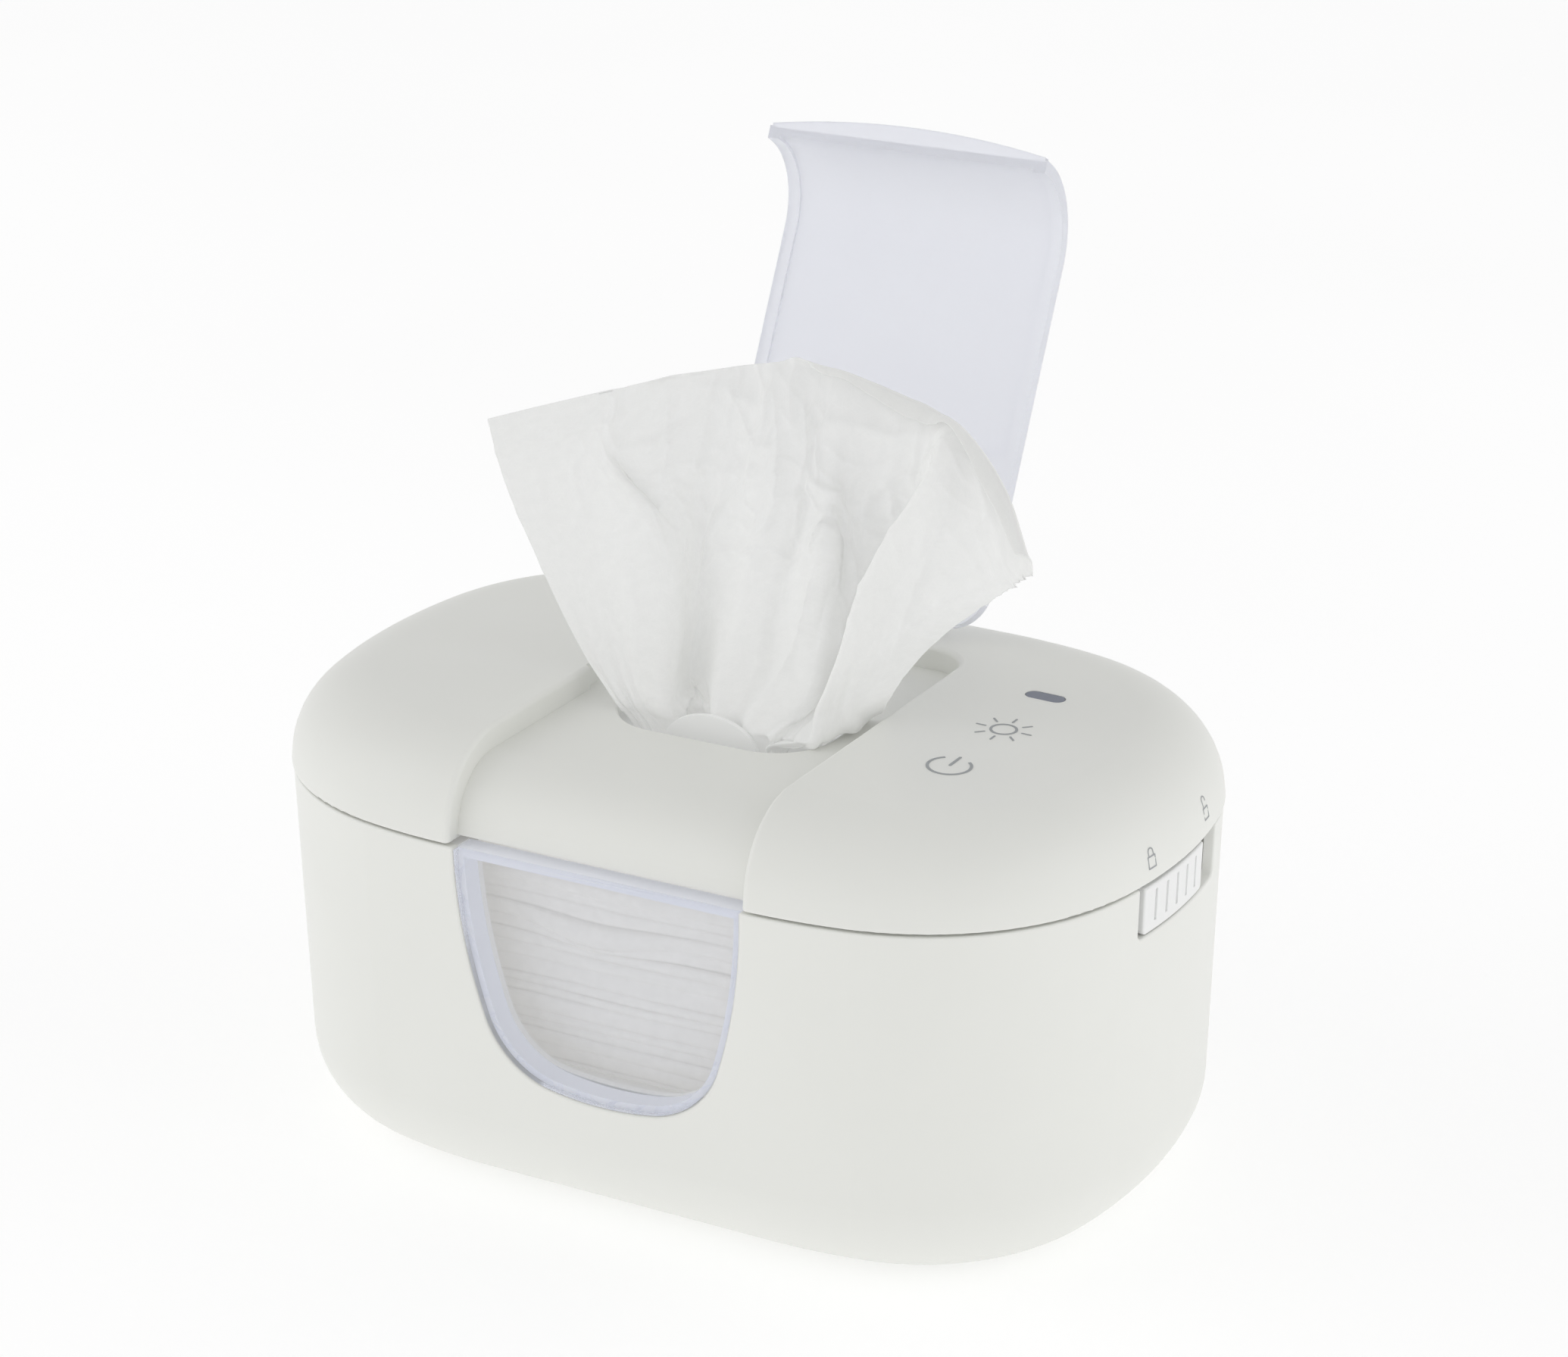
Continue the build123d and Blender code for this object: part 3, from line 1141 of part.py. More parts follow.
# ---------------------------------------------------------------- flip lid
lid_half = CHANNEL_HALF - LID_SIDE_GAP
lid_back_y = CHANNEL_BACK_Y - LID_SIDE_GAP
lid_axis = Axis((0, LID_AXIS_Y, LID_AXIS_Z), (1, 0, 0))


def lid_plan(half_width, back_y, corner_r):
    """The lid seen from above, as a prism from its tip's height up."""
    with BuildPart() as prism:
        with BuildSketch(Plane.XY.offset(LID_TIP_Z)):
            with Locations((0, (back_y - DEPTH) / 2)):
                Rectangle(2 * half_width, back_y + DEPTH)
        extrude(amount=TOP_Z)
        fillet(prism.edges().filter_by(Axis.Z).group_by(Axis.Y)[-1], corner_r)
    return prism.part


with BuildPart() as lid_rim:
    add(cover_form(LID_T, low_z=COVER_EDGE_Z - 1))
    add(cover_form(LID_T + LID_RIM_T, low_z=COVER_EDGE_Z - 2), mode=Mode.SUBTRACT)
    add(lid_plan(lid_half, lid_back_y, CHANNEL_CORNER_R), mode=Mode.INTERSECT)
    with BuildSketch(Plane.XY):
        with Locations((0, POCKET_FRONT_Y + 6 - DEPTH)):
            Rectangle(2 * (lid_half - LID_RIM_W), 2 * DEPTH)
    extrude(amount=2 * TOP_Z, mode=Mode.SUBTRACT)

with BuildPart() as flip_lid:
    add(cover_outside)
    add(cover_form(LID_T, low_z=COVER_EDGE_Z - 1), mode=Mode.SUBTRACT)
    add(lid_plan(lid_half, lid_back_y, CHANNEL_CORNER_R), mode=Mode.INTERSECT)
    add(lid_rim.part)
    for side in (-1, 1):
        knuckle_middle = side * (LID_KNUCKLE_IN + LID_KNUCKLE_OUT) / 2
        knuckle_half = (LID_KNUCKLE_OUT - LID_KNUCKLE_IN) / 2
        with BuildSketch(Plane.YZ.offset(knuckle_middle)):
            with Locations((LID_AXIS_Y, LID_AXIS_Z)):
                Circle(LID_BARREL_R)
            with Locations(((LID_AXIS_Y + lid_back_y) / 2 - 1, LID_AXIS_Z - 0.1)):
                Rectangle(LID_AXIS_Y - lid_back_y + 2, 1.9)
        extrude(amount=knuckle_half, both=True)
    with BuildSketch(Plane.YZ):
        with Locations((LID_AXIS_Y, LID_AXIS_Z)):
            Circle(LID_PIN_DIA / 2 + FIT)
    extrude(amount=LID_KNUCKLE_OUT + 1, both=True, mode=Mode.SUBTRACT)

    # thumb lip: a bow that stands out along the tip
    with BuildSketch(Plane.XY.offset(LID_TIP_Z)):
        with BuildLine():
            bow = ThreePointArc(
                (-lid_half + 0.6, -HALF_D - LID_LIP_END),
                (0, -HALF_D - LID_LIP_OUT),
                (lid_half - 0.6, -HALF_D - LID_LIP_END),
            )
            Polyline(bow @ 1, (lid_half - 0.6, LID_T / 2 - HALF_D), (0.6 - lid_half, LID_T / 2 - HALF_D), bow @ 0)
        make_face()
    extrude(amount=LID_LIP_T)
save(flip_lid.part.rotate(lid_axis, -LID_OPEN_DEG), "flip_lid")

with BuildPart() as flip_hinge_pin:
    with BuildSketch(Plane.YZ):
        with Locations((LID_AXIS_Y, LID_AXIS_Z)):
            Circle(LID_PIN_DIA / 2)
    extrude(amount=hinge_well_half + 1.4, both=True)
save(flip_hinge_pin.part, "flip_hinge_pin")

# ---------------------------------------------------------------- wipes
stack_z = TANK_FLOOR_Z + TANK_WALL
with BuildPart() as wipe_stack:
    with BuildSketch(Plane.XY.offset(stack_z)):
        RectangleRounded(STACK_LENGTH, STACK_DEPTH, STACK_CORNER_R)
    extrude(amount=STACK_HEIGHT)
    fillet(wipe_stack.edges().group_by(Axis.Z)[0], TANK_FILLET)
save(wipe_stack.part, "wipe_stack")

NECK_GAP = 0.3
WIPE_TOP_Z = 184.0
with BuildPart() as pulled_wipe:
    for z, length, depth, middle_y in (
        (guide_z, SLOT_LENGTH - 2 * NECK_GAP, SLOT_DEPTH - 2 * NECK_GAP, MOUTH_Y),
        (CHANNEL_FLOOR_Z + 5, 44, 34, MOUTH_Y),
        (CHANNEL_FLOOR_Z + 34, 104, 38, MOUTH_Y + 8),
        (WIPE_TOP_Z, 122, 38, MOUTH_Y + 10),
    ):
        with BuildSketch(Plane.XY.offset(z)):
            with Locations((0, middle_y)):
                RectangleRounded(length, depth, 12)
    loft(ruled=True)
save(pulled_wipe.part, "pulled_wipe")
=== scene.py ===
# %% [markdown]
# # A wipe warmer, dressed for its picture
#
# The object is a heated tub for damp baby wipes. Its hard parts come from a CAD
# model, so their shapes and places are already right. This lesson gives every part
# its finish, prints the small signs on the cover, and makes the two soft things: the
# stack of folded wipes behind the window, and the wipe that stands out of the mouth.
# Lengths are in metres, and `MM` turns millimetres into metres.

# %% Load the CAD model
import math

import bmesh
import bpy
import numpy as np
from mathutils import Matrix, Vector, noise


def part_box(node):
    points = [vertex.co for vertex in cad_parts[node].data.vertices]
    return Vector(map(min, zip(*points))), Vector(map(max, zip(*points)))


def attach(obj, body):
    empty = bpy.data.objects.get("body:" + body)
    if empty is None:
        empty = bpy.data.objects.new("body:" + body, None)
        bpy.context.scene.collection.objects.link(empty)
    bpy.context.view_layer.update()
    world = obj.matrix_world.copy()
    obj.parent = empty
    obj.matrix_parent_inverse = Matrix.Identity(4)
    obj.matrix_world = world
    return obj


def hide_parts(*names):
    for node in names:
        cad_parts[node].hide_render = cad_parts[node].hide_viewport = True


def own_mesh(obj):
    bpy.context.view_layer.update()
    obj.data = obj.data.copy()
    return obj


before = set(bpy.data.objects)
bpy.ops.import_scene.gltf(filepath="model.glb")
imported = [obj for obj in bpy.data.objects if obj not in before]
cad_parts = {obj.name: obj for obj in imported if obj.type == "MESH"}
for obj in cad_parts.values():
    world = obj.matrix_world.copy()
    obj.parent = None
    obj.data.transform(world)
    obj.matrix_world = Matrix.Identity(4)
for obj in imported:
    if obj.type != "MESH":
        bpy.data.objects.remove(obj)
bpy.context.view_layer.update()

MM = 0.001

# %% [markdown]
# ## Camera
#
# A long lens stands a metre away, to the right of the window and a little above the
# lid. Its direction is given by two angles. The three axes of a camera are its
# right, its up and the direction behind it, and together they are its rotation.
# Working them out from the angles is safer than aiming it by hand.

# %% Camera
AZIMUTH, ELEVATION, ROLL = (math.radians(a) for a in (29.209, 21.189, -0.256))
CAMERA_AT = (0.4278, -0.7509, 0.4427)
LENS, SENSOR = 96.25, 36    # in mm, as lenses are sold

behind = Vector((
    math.sin(AZIMUTH) * math.cos(ELEVATION),
    -math.cos(AZIMUTH) * math.cos(ELEVATION),
    math.sin(ELEVATION),
))
level = Vector((math.cos(AZIMUTH), math.sin(AZIMUTH), 0))
right = level * math.cos(ROLL) + behind.cross(level) * math.sin(ROLL)
turn = Matrix((right, behind.cross(right), behind)).transposed().to_euler()
bpy.ops.object.camera_add(location=CAMERA_AT, rotation=turn)
camera = bpy.context.object
camera.name = "studio_camera"
camera.data.lens = LENS
camera.data.sensor_width = SENSOR
bpy.context.scene.camera = camera
print("camera lens:", camera.data.lens)

# %% [markdown]
# ## Light
#
# White plastic on white needs light from all round, with only a slow change of
# brightness to show its curves. A world shader can be that light tent: bright near
# the horizon, dimmer overhead, and brighter to the camera's left and right than in
# front and behind. Two large soft boxes at the sides add the long, gentle
# highlights. The standard view transform keeps the whites white.

# %% A helper that adds a shader node, sets it and links it
def node(tree, kind, inputs=None, **settings):
    made = tree.nodes.new(kind)
    for name, value in settings.items():
        setattr(made, name, value)
    for socket, value in (inputs or {}).items():
        if isinstance(value, bpy.types.NodeSocket):
            tree.links.new(value, made.inputs[socket])
        else:
            made.inputs[socket].default_value = value
    return made


def ramp(tree, value, stops):
    made = node(tree, "ShaderNodeValToRGB", {"Fac": value})
    points = made.color_ramp.elements
    while len(points) < len(stops):
        points.new(0.5)
    for point, (place, colour) in zip(points, stops):
        point.position = place
        point.color = (*colour, 1) if hasattr(colour, "__len__") else (colour,) * 3 + (1,)
    return made.outputs["Color"]


# %% Light tent and soft boxes
bpy.context.scene.view_settings.view_transform = "Standard"

tent = bpy.data.worlds.new("light_tent")
bpy.context.scene.world = tent
tent.use_nodes = True
tree = tent.node_tree
tree.nodes.clear()
way = node(tree, "ShaderNodeTexCoord").outputs["Generated"]
height = node(tree, "ShaderNodeSeparateXYZ", {"Vector": way}).outputs["Z"]
glow = ramp(tree, height, [(0.0, 0.97), (0.35, 0.85), (1.0, 0.70)])
sideways = node(tree, "ShaderNodeVectorMath", {0: way, 1: level}, operation="DOT_PRODUCT").outputs["Value"]
square = node(tree, "ShaderNodeMath", {0: sideways, 1: sideways}, operation="MULTIPLY").outputs[0]
strength = node(tree, "ShaderNodeMath", {0: square, 1: 0.30, 2: 0.86}, operation="MULTIPLY_ADD").outputs[0]
shine = node(tree, "ShaderNodeBackground", {"Color": glow, "Strength": strength})
node(tree, "ShaderNodeOutputWorld", {"Surface": shine.outputs["Background"]})


def soft_box(name, at, towards, size, power):
    aim = (Vector(towards) - Vector(at)).to_track_quat("-Z", "Y").to_euler()
    bpy.ops.object.light_add(type="AREA", location=at, rotation=aim)
    lamp = bpy.context.object
    lamp.name = name
    lamp.data.shape = "RECTANGLE"
    lamp.data.size, lamp.data.size_y = size
    lamp.data.energy = power
    return lamp


soft_box("left_soft_box", (-1.25, -0.75, 0.8), (0, 0, 0.09), (1.0, 1.0), 1.8)
soft_box("right_soft_box", (1.35, 0.15, 0.7), (0, 0, 0.09), (1.0, 1.0), 1.5)

# %% [markdown]
# ## Floor
#
# The floor is one pale sheet. A little light of its own, as on a lit table, keeps
# it white and leaves only a soft shadow under the tub.

# %% A clean start for each operator
def start():
    if bpy.context.object and bpy.context.object.mode != "OBJECT":
        bpy.ops.object.mode_set(mode="OBJECT")
    bpy.ops.object.select_all(action="DESELECT")


def new_material(name, **sockets):
    material = bpy.data.materials.new(name)
    material.use_nodes = True
    shader = material.node_tree.nodes["Principled BSDF"]
    for socket, value in sockets.items():
        shader.inputs[socket.replace("_", " ")].default_value = value
    return material, material.node_tree, shader


# %% Floor
start()
bpy.ops.mesh.primitive_grid_add(x_subdivisions=8, y_subdivisions=8, size=9)
floor = bpy.context.object
floor.name = "studio_floor"
material, tree, shader = new_material(
    "pale_floor", Roughness=0.7, Emission_Color=(1, 1, 1, 1), Emission_Strength=0.42,
)
spots = node(tree, "ShaderNodeTexNoise", {
    "Vector": node(tree, "ShaderNodeTexCoord").outputs["Object"], "Scale": 3.0,
})
tree.links.new(
    ramp(tree, spots.outputs["Fac"], [(0.3, (0.70, 0.70, 0.70)), (0.7, (0.72, 0.72, 0.72))]),
    shader.inputs["Base Color"],
)
floor.data.materials.append(material)
print("floor:", tuple(round(x, 2) for x in floor.dimensions))

# %% [markdown]
# ## Moulded plastic
#
# Most of the shell is white plastic from one mould. The mould is etched, so the
# surface has a grain a few tenths of a millimetre across, which makes it satin. The
# colour is never quite even either, because the plastic cools unevenly. Several
# materials need the same two effects, so they are a node group with a grain size,
# two colours and a roughness as its inputs.

# %% Moulded grain, a node group
def new_group(name, inputs, outputs):
    group = bpy.data.node_groups.new(name, "ShaderNodeTree")
    for title, kind, value in inputs:
        socket = group.interface.new_socket(title, in_out="INPUT", socket_type=kind)
        socket.default_value = value
    for title, kind in outputs:
        group.interface.new_socket(title, in_out="OUTPUT", socket_type=kind)
    return group, node(group, "NodeGroupInput").outputs, node(group, "NodeGroupOutput").inputs


COLOUR, NUMBER = "NodeSocketColor", "NodeSocketFloat"
WHITE = (1, 1, 1, 1)

grain_group, given, result = new_group(
    "moulded_grain",
    [("Colour", COLOUR, WHITE), ("Deep Colour", COLOUR, WHITE), ("Roughness", NUMBER, 0.4),
     ("Spread", NUMBER, 0.1), ("Grain", NUMBER, 0.3)],
    [("Colour", COLOUR), ("Roughness", NUMBER), ("Height", NUMBER)],
)
place = node(grain_group, "ShaderNodeTexCoord").outputs["Object"]
fineness = node(grain_group, "ShaderNodeMath", {0: 1000.0, 1: given["Grain"]}, operation="DIVIDE")
etch = node(grain_group, "ShaderNodeTexNoise", {
    "Vector": place, "Scale": fineness.outputs[0], "Detail": 2.0, "Roughness": 0.6,
}).outputs["Fac"]
flow = node(grain_group, "ShaderNodeTexNoise", {
    "Vector": place, "Scale": 26.0, "Detail": 3.0, "Distortion": 0.6,
}).outputs["Fac"]
tone = node(grain_group, "ShaderNodeMath", {0: etch, 1: 0.3, 2: flow}, operation="MULTIPLY_ADD")
share = node(grain_group, "ShaderNodeMapRange", {
    "Value": tone.outputs[0], "From Min": 0.35, "From Max": 0.95,
})
mixed = node(grain_group, "ShaderNodeMix", {
    "Factor": share.outputs["Result"], 6: given["Colour"], 7: given["Deep Colour"],
}, data_type="RGBA")
grain_group.links.new(mixed.outputs[2], result["Colour"])
off_centre = node(grain_group, "ShaderNodeMath", {0: share.outputs["Result"], 1: 0.5}, operation="SUBTRACT")
rough = node(grain_group, "ShaderNodeMath", {
    0: off_centre.outputs[0], 1: given["Spread"], 2: given["Roughness"],
}, operation="MULTIPLY_ADD")
grain_group.links.new(rough.outputs[0], result["Roughness"])
grain_group.links.new(etch, result["Height"])
print("group:", grain_group.name, "nodes:", len(grain_group.nodes))


# %% A material from the moulded grain
def moulded(name, colour, deep, roughness, spread=0.08, grain=0.35, bump=0.004, **sockets):
    material, tree, shader = new_material(name, **sockets)
    finish = node(tree, "ShaderNodeGroup", node_tree=grain_group)
    finish.inputs["Colour"].default_value = (*colour, 1)
    finish.inputs["Deep Colour"].default_value = (*deep, 1)
    finish.inputs["Roughness"].default_value = roughness
    finish.inputs["Spread"].default_value = spread
    finish.inputs["Grain"].default_value = grain
    relief = node(tree, "ShaderNodeBump", {
        "Height": finish.outputs["Height"], "Strength": 0.5, "Distance": bump * MM,
    })
    tree.links.new(finish.outputs["Colour"], shader.inputs["Base Color"])
    tree.links.new(finish.outputs["Roughness"], shader.inputs["Roughness"])
    tree.links.new(relief.outputs["Normal"], shader.inputs["Normal"])
    return material


def dress(material, *names):
    for name in names:
        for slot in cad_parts[name].material_slots:
            slot.material = material
    print(material.name, "->", ", ".join(names))


# %% Shell, lock and inner mouldings
dress(
    moulded("shell_plastic", (0.825, 0.83, 0.795), (0.81, 0.815, 0.78), 0.42, grain=0.4, bump=0.006,
            Subsurface_Weight=0.25, Subsurface_Radius=(1, 1, 1), Subsurface_Scale=0.002),
    "tub_shell", "base_cover", "top_cover",
)
dress(
    moulded("lock_plastic", (0.86, 0.865, 0.86), (0.845, 0.85, 0.845), 0.38,
            Subsurface_Weight=0.3, Subsurface_Radius=(1, 1, 1), Subsurface_Scale=0.0015),
    "lock_slider",
)
# The emission on the tank, tray, keeper, liner and catch is painted light: a faint glow that lifts the shade
# inside the closed tub and in the seam under the cover.
dress(
    moulded("tank_plastic", (0.84, 0.84, 0.835), (0.82, 0.82, 0.815), 0.3, spread=0.12,
            Emission_Color=(0.97, 0.97, 0.96, 1), Emission_Strength=0.12),
    "inner_tank", "heater_tray", "lock_keeper", "cover_liner", "cover_catch",
)
dress(
    moulded("socket_plastic", (0.02, 0.02, 0.022), (0.03, 0.03, 0.032), 0.4, grain=0.6),
    "power_inlet", "contact_block",
)

# %% [markdown]
# ## Rubbers
#
# The mouth has a soft silicone guide, whose tongues hold a wipe, and the cover has
# a silicone seal. Silicone lets a little light in, so it has some subsurface light,
# and its surface is matt. The feet are harder and greyer.

# %% Silicone, seal and feet
# The guide's emission is painted light, a faint glow that lifts the shade on its tongues inside the mouth.
dress(
    moulded("guide_silicone", (0.86, 0.865, 0.855), (0.84, 0.845, 0.835), 0.5, grain=0.5,
            Emission_Color=(1, 1, 1, 1), Emission_Strength=0.07,
            Subsurface_Weight=0.35, Subsurface_Radius=(1, 1, 1), Subsurface_Scale=0.002),
    "wipe_guide",
)
dress(
    moulded("seal_silicone", (0.86, 0.85, 0.82), (0.84, 0.83, 0.80), 0.55, grain=0.6,
            Subsurface_Weight=0.2, Subsurface_Radius=(1, 1, 1), Subsurface_Scale=0.002),
    "cover_seal",
)
dress(
    moulded("foot_rubber", (0.33, 0.335, 0.35), (0.29, 0.295, 0.31), 0.75, grain=0.8, bump=0.02),
    "rubber_feet",
)

# %% [markdown]
# ## Clear and frosted plastic
#
# The window pane is clear, with the faint blue of thick clear plastic. The frame
# behind it and the flip lid are the same plastic with a frosted face, which lets
# light through but blurs what is behind it. Glass is a plain Principled shader with
# its transmission turned up, and frosting is only more roughness.

# %% Window pane, window frame, flip lid and indicator
dress(
    moulded("clear_plastic", (0.965, 0.972, 0.995), (0.955, 0.965, 0.99), 0.1, spread=0.02,
            bump=0.0, Transmission_Weight=1.0, IOR=1.15),
    "window_pane",
)
# The frame's emission is painted light, a glow that lifts the shade in the window's recess.
dress(
    moulded("frosted_frame", (0.815, 0.825, 0.865), (0.80, 0.81, 0.855), 0.45, grain=0.5,
            Transmission_Weight=0.2, IOR=1.45, Emission_Color=(0.93, 0.95, 1, 1), Emission_Strength=0.15),
    "window_bezel",
)
# The lid's faint emission is painted light that brightens it.
dress(
    moulded("frosted_lid", (0.91, 0.92, 0.965), (0.90, 0.91, 0.96), 0.34, grain=0.4,
            Transmission_Weight=0.6, IOR=1.45, Emission_Color=(0.95, 0.96, 1, 1), Emission_Strength=0.03),
    "flip_lid",
)
dress(
    moulded("indicator_plastic", (0.22, 0.24, 0.30), (0.20, 0.22, 0.28), 0.35,
            Transmission_Weight=0.15, IOR=1.45),
    "indicator_lens",
)

# %% [markdown]
# ## Metal
#
# Screws, pins and springs are drawn or turned, and the heater plate is rolled, so
# each has fine streaks along one way. Noise that is stretched along an axis is that
# streak. One group gives it to every metal.

# %% Drawn metal, a node group
streak_group, given, result = new_group(
    "drawn_metal",
    [("Colour", COLOUR, WHITE), ("Dull Colour", COLOUR, WHITE), ("Roughness", NUMBER, 0.3),
     ("Spread", NUMBER, 0.15)],
    [("Colour", COLOUR), ("Roughness", NUMBER), ("Height", NUMBER)],
)
along = node(streak_group, "ShaderNodeMapping", {
    "Vector": node(streak_group, "ShaderNodeTexCoord").outputs["Object"], "Scale": (0.06, 1.0, 1.0),
})
streak = node(streak_group, "ShaderNodeTexNoise", {
    "Vector": along.outputs["Vector"], "Scale": 5000.0, "Detail": 3.0,
}).outputs["Fac"]
mixed = node(streak_group, "ShaderNodeMix", {
    "Factor": streak, 6: given["Colour"], 7: given["Dull Colour"],
}, data_type="RGBA")
rough = node(streak_group, "ShaderNodeMath", {
    0: streak, 1: given["Spread"], 2: given["Roughness"],
}, operation="MULTIPLY_ADD")
streak_group.links.new(mixed.outputs[2], result["Colour"])
streak_group.links.new(rough.outputs[0], result["Roughness"])
streak_group.links.new(streak, result["Height"])


# %% Metal parts
def metal(name, colour, dull, roughness):
    material, tree, shader = new_material(name, Metallic=1.0)
    finish = node(tree, "ShaderNodeGroup", node_tree=streak_group)
    finish.inputs["Colour"].default_value = (*colour, 1)
    finish.inputs["Dull Colour"].default_value = (*dull, 1)
    finish.inputs["Roughness"].default_value = roughness
    relief = node(tree, "ShaderNodeBump", {
        "Height": finish.outputs["Height"], "Strength": 0.3, "Distance": 0.01 * MM,
    })
    tree.links.new(finish.outputs["Colour"], shader.inputs["Base Color"])
    tree.links.new(finish.outputs["Roughness"], shader.inputs["Roughness"])
    tree.links.new(relief.outputs["Normal"], shader.inputs["Normal"])
    return material


dress(
    metal("plated_steel", (0.60, 0.60, 0.61), (0.48, 0.48, 0.50), 0.22),
    "base_screws", "tank_screws", "tray_screws", "board_screws", "liner_screws",
    "touch_board_screws", "thermal_fuse", "lock_spring", "cover_hinge_pin", "flip_hinge_pin",
)
dress(metal("contact_brass", (0.78, 0.60, 0.26), (0.66, 0.48, 0.20), 0.2), "contact_pins", "contact_pads")
dress(metal("heater_aluminium", (0.72, 0.73, 0.74), (0.62, 0.63, 0.65), 0.3), "heater_plate")

# %% [markdown]
# ## Inside the tub
#
# The parts under the tank are seen only when the model is opened or cut, but each
# still gets its own finish. The heating film is amber with a dark printed track,
# the boards are green with paler copper tracks under the lacquer, and the pad is
# a pale felt. A brick pattern, stretched, is a good track.

# %% Heating film, boards and insulation
def patterned(name, colour, line, roughness, size, width, **sockets):
    material, tree, shader = new_material(name, Roughness=roughness, **sockets)
    place = node(tree, "ShaderNodeTexCoord").outputs["Object"]
    track = node(tree, "ShaderNodeTexBrick", {
        "Vector": place, "Color1": (*colour, 1), "Color2": (*(c * 0.9 for c in colour), 1),
        "Mortar": (*line, 1), "Scale": 1.0 / (size * MM), "Mortar Size": width,
        "Mortar Smooth": 0.2, "Brick Width": 2.5, "Row Height": 0.5,
    })
    relief = node(tree, "ShaderNodeBump", {
        "Height": track.outputs["Fac"], "Strength": 0.4, "Distance": 0.03 * MM,
    })
    tree.links.new(track.outputs["Color"], shader.inputs["Base Color"])
    tree.links.new(relief.outputs["Normal"], shader.inputs["Normal"])
    return material


dress(patterned("amber_film", (0.62, 0.27, 0.03), (0.16, 0.08, 0.03), 0.3, 6.0, 0.12), "heating_film")
dress(
    patterned("lacquered_board", (0.02, 0.12, 0.045), (0.05, 0.22, 0.09), 0.3, 2.2, 0.07),
    "control_board", "touch_board", "night_light_board",
)
dress(
    moulded("insulation_felt", (0.72, 0.71, 0.68), (0.52, 0.51, 0.48), 0.9, grain=0.9, bump=0.2),
    "insulation_pad",
)
dress(
    moulded("component_case", (0.025, 0.025, 0.028), (0.05, 0.05, 0.055), 0.45, grain=0.5),
    "board_components", "temperature_sensor", "touch_pads",
)
dress(
    moulded("wire_sleeve", (0.05, 0.05, 0.052), (0.035, 0.035, 0.037), 0.5, grain=0.8),
    "inlet_leads", "heater_leads", "light_leads", "contact_leads", "cover_harness",
)
dress(
    moulded("lamp_resin", (0.90, 0.86, 0.66), (0.86, 0.80, 0.56), 0.15, bump=0.001,
            Transmission_Weight=0.5, IOR=1.5),
    "night_light_leds", "status_led",
)

# %% [markdown]
# ## Printed signs
#
# The touch keys are only signs printed on the cover: a power sign and a sun for the
# night light. Two padlocks beside the lock show its two ends. Each is drawn flat
# from circles and bars, laid down on the cover with Shrinkwrap, and given the
# thickness of a coat of ink. Printing them as real thin shapes keeps their edges
# sharp at any size, which a painted mask would not.

# %% Rings and bars, the strokes of a sign
def in_edit(pick=None, kind="faces"):
    bpy.ops.object.mode_set(mode="EDIT")
    mesh = bmesh.from_edit_mesh(bpy.context.object.data)
    bpy.ops.mesh.select_all(action="DESELECT")
    bpy.ops.mesh.select_mode(type={"faces": "FACE", "edges": "EDGE", "verts": "VERT"}[kind])
    mesh = bmesh.from_edit_mesh(bpy.context.object.data)
    for part in getattr(mesh, kind):
        centre = part.co if kind == "verts" else sum((v.co for v in part.verts), Vector()) / len(part.verts)
        part.select_set(pick is None or pick(centre))
    mesh.select_flush_mode()
    bmesh.update_edit_mesh(bpy.context.object.data)


def ring(radius, stroke, centre=(0, 0), keep=None, points=96):
    start()
    bpy.ops.mesh.primitive_circle_add(vertices=points, radius=radius * MM, fill_type="NGON")
    in_edit()
    bpy.ops.mesh.inset(thickness=stroke * MM)
    bpy.ops.mesh.delete(type="FACE")
    if keep:
        in_edit(lambda c: not keep(math.degrees(math.atan2(c.y, c.x))))
        bpy.ops.mesh.delete(type="FACE")
    in_edit()
    bpy.ops.transform.translate(value=(centre[0] * MM, centre[1] * MM, 0))
    bpy.ops.object.mode_set(mode="OBJECT")
    return bpy.context.object


def bar(begin, end, stroke):
    begin, end = Vector(begin) * MM, Vector(end) * MM
    run = end - begin
    start()
    bpy.ops.mesh.primitive_plane_add(size=1)
    in_edit()
    bpy.ops.transform.resize(value=(run.length + stroke * MM, stroke * MM, 1))
    in_edit(kind="verts")
    bpy.ops.mesh.bevel(offset=stroke * MM * 0.49, segments=5, affect="VERTICES")
    drawn = bpy.context.object
    bpy.ops.object.mode_set(mode="OBJECT")
    middle = (begin + end) / 2
    drawn.data.transform(Matrix.Translation((*middle, 0)) @ Matrix.Rotation(math.atan2(run.y, run.x), 4, "Z"))
    return drawn


# %% Laying a sign on the cover
ink = moulded("grey_ink", (0.36, 0.375, 0.385), (0.33, 0.345, 0.355), 0.5, grain=0.2, bump=0.001)


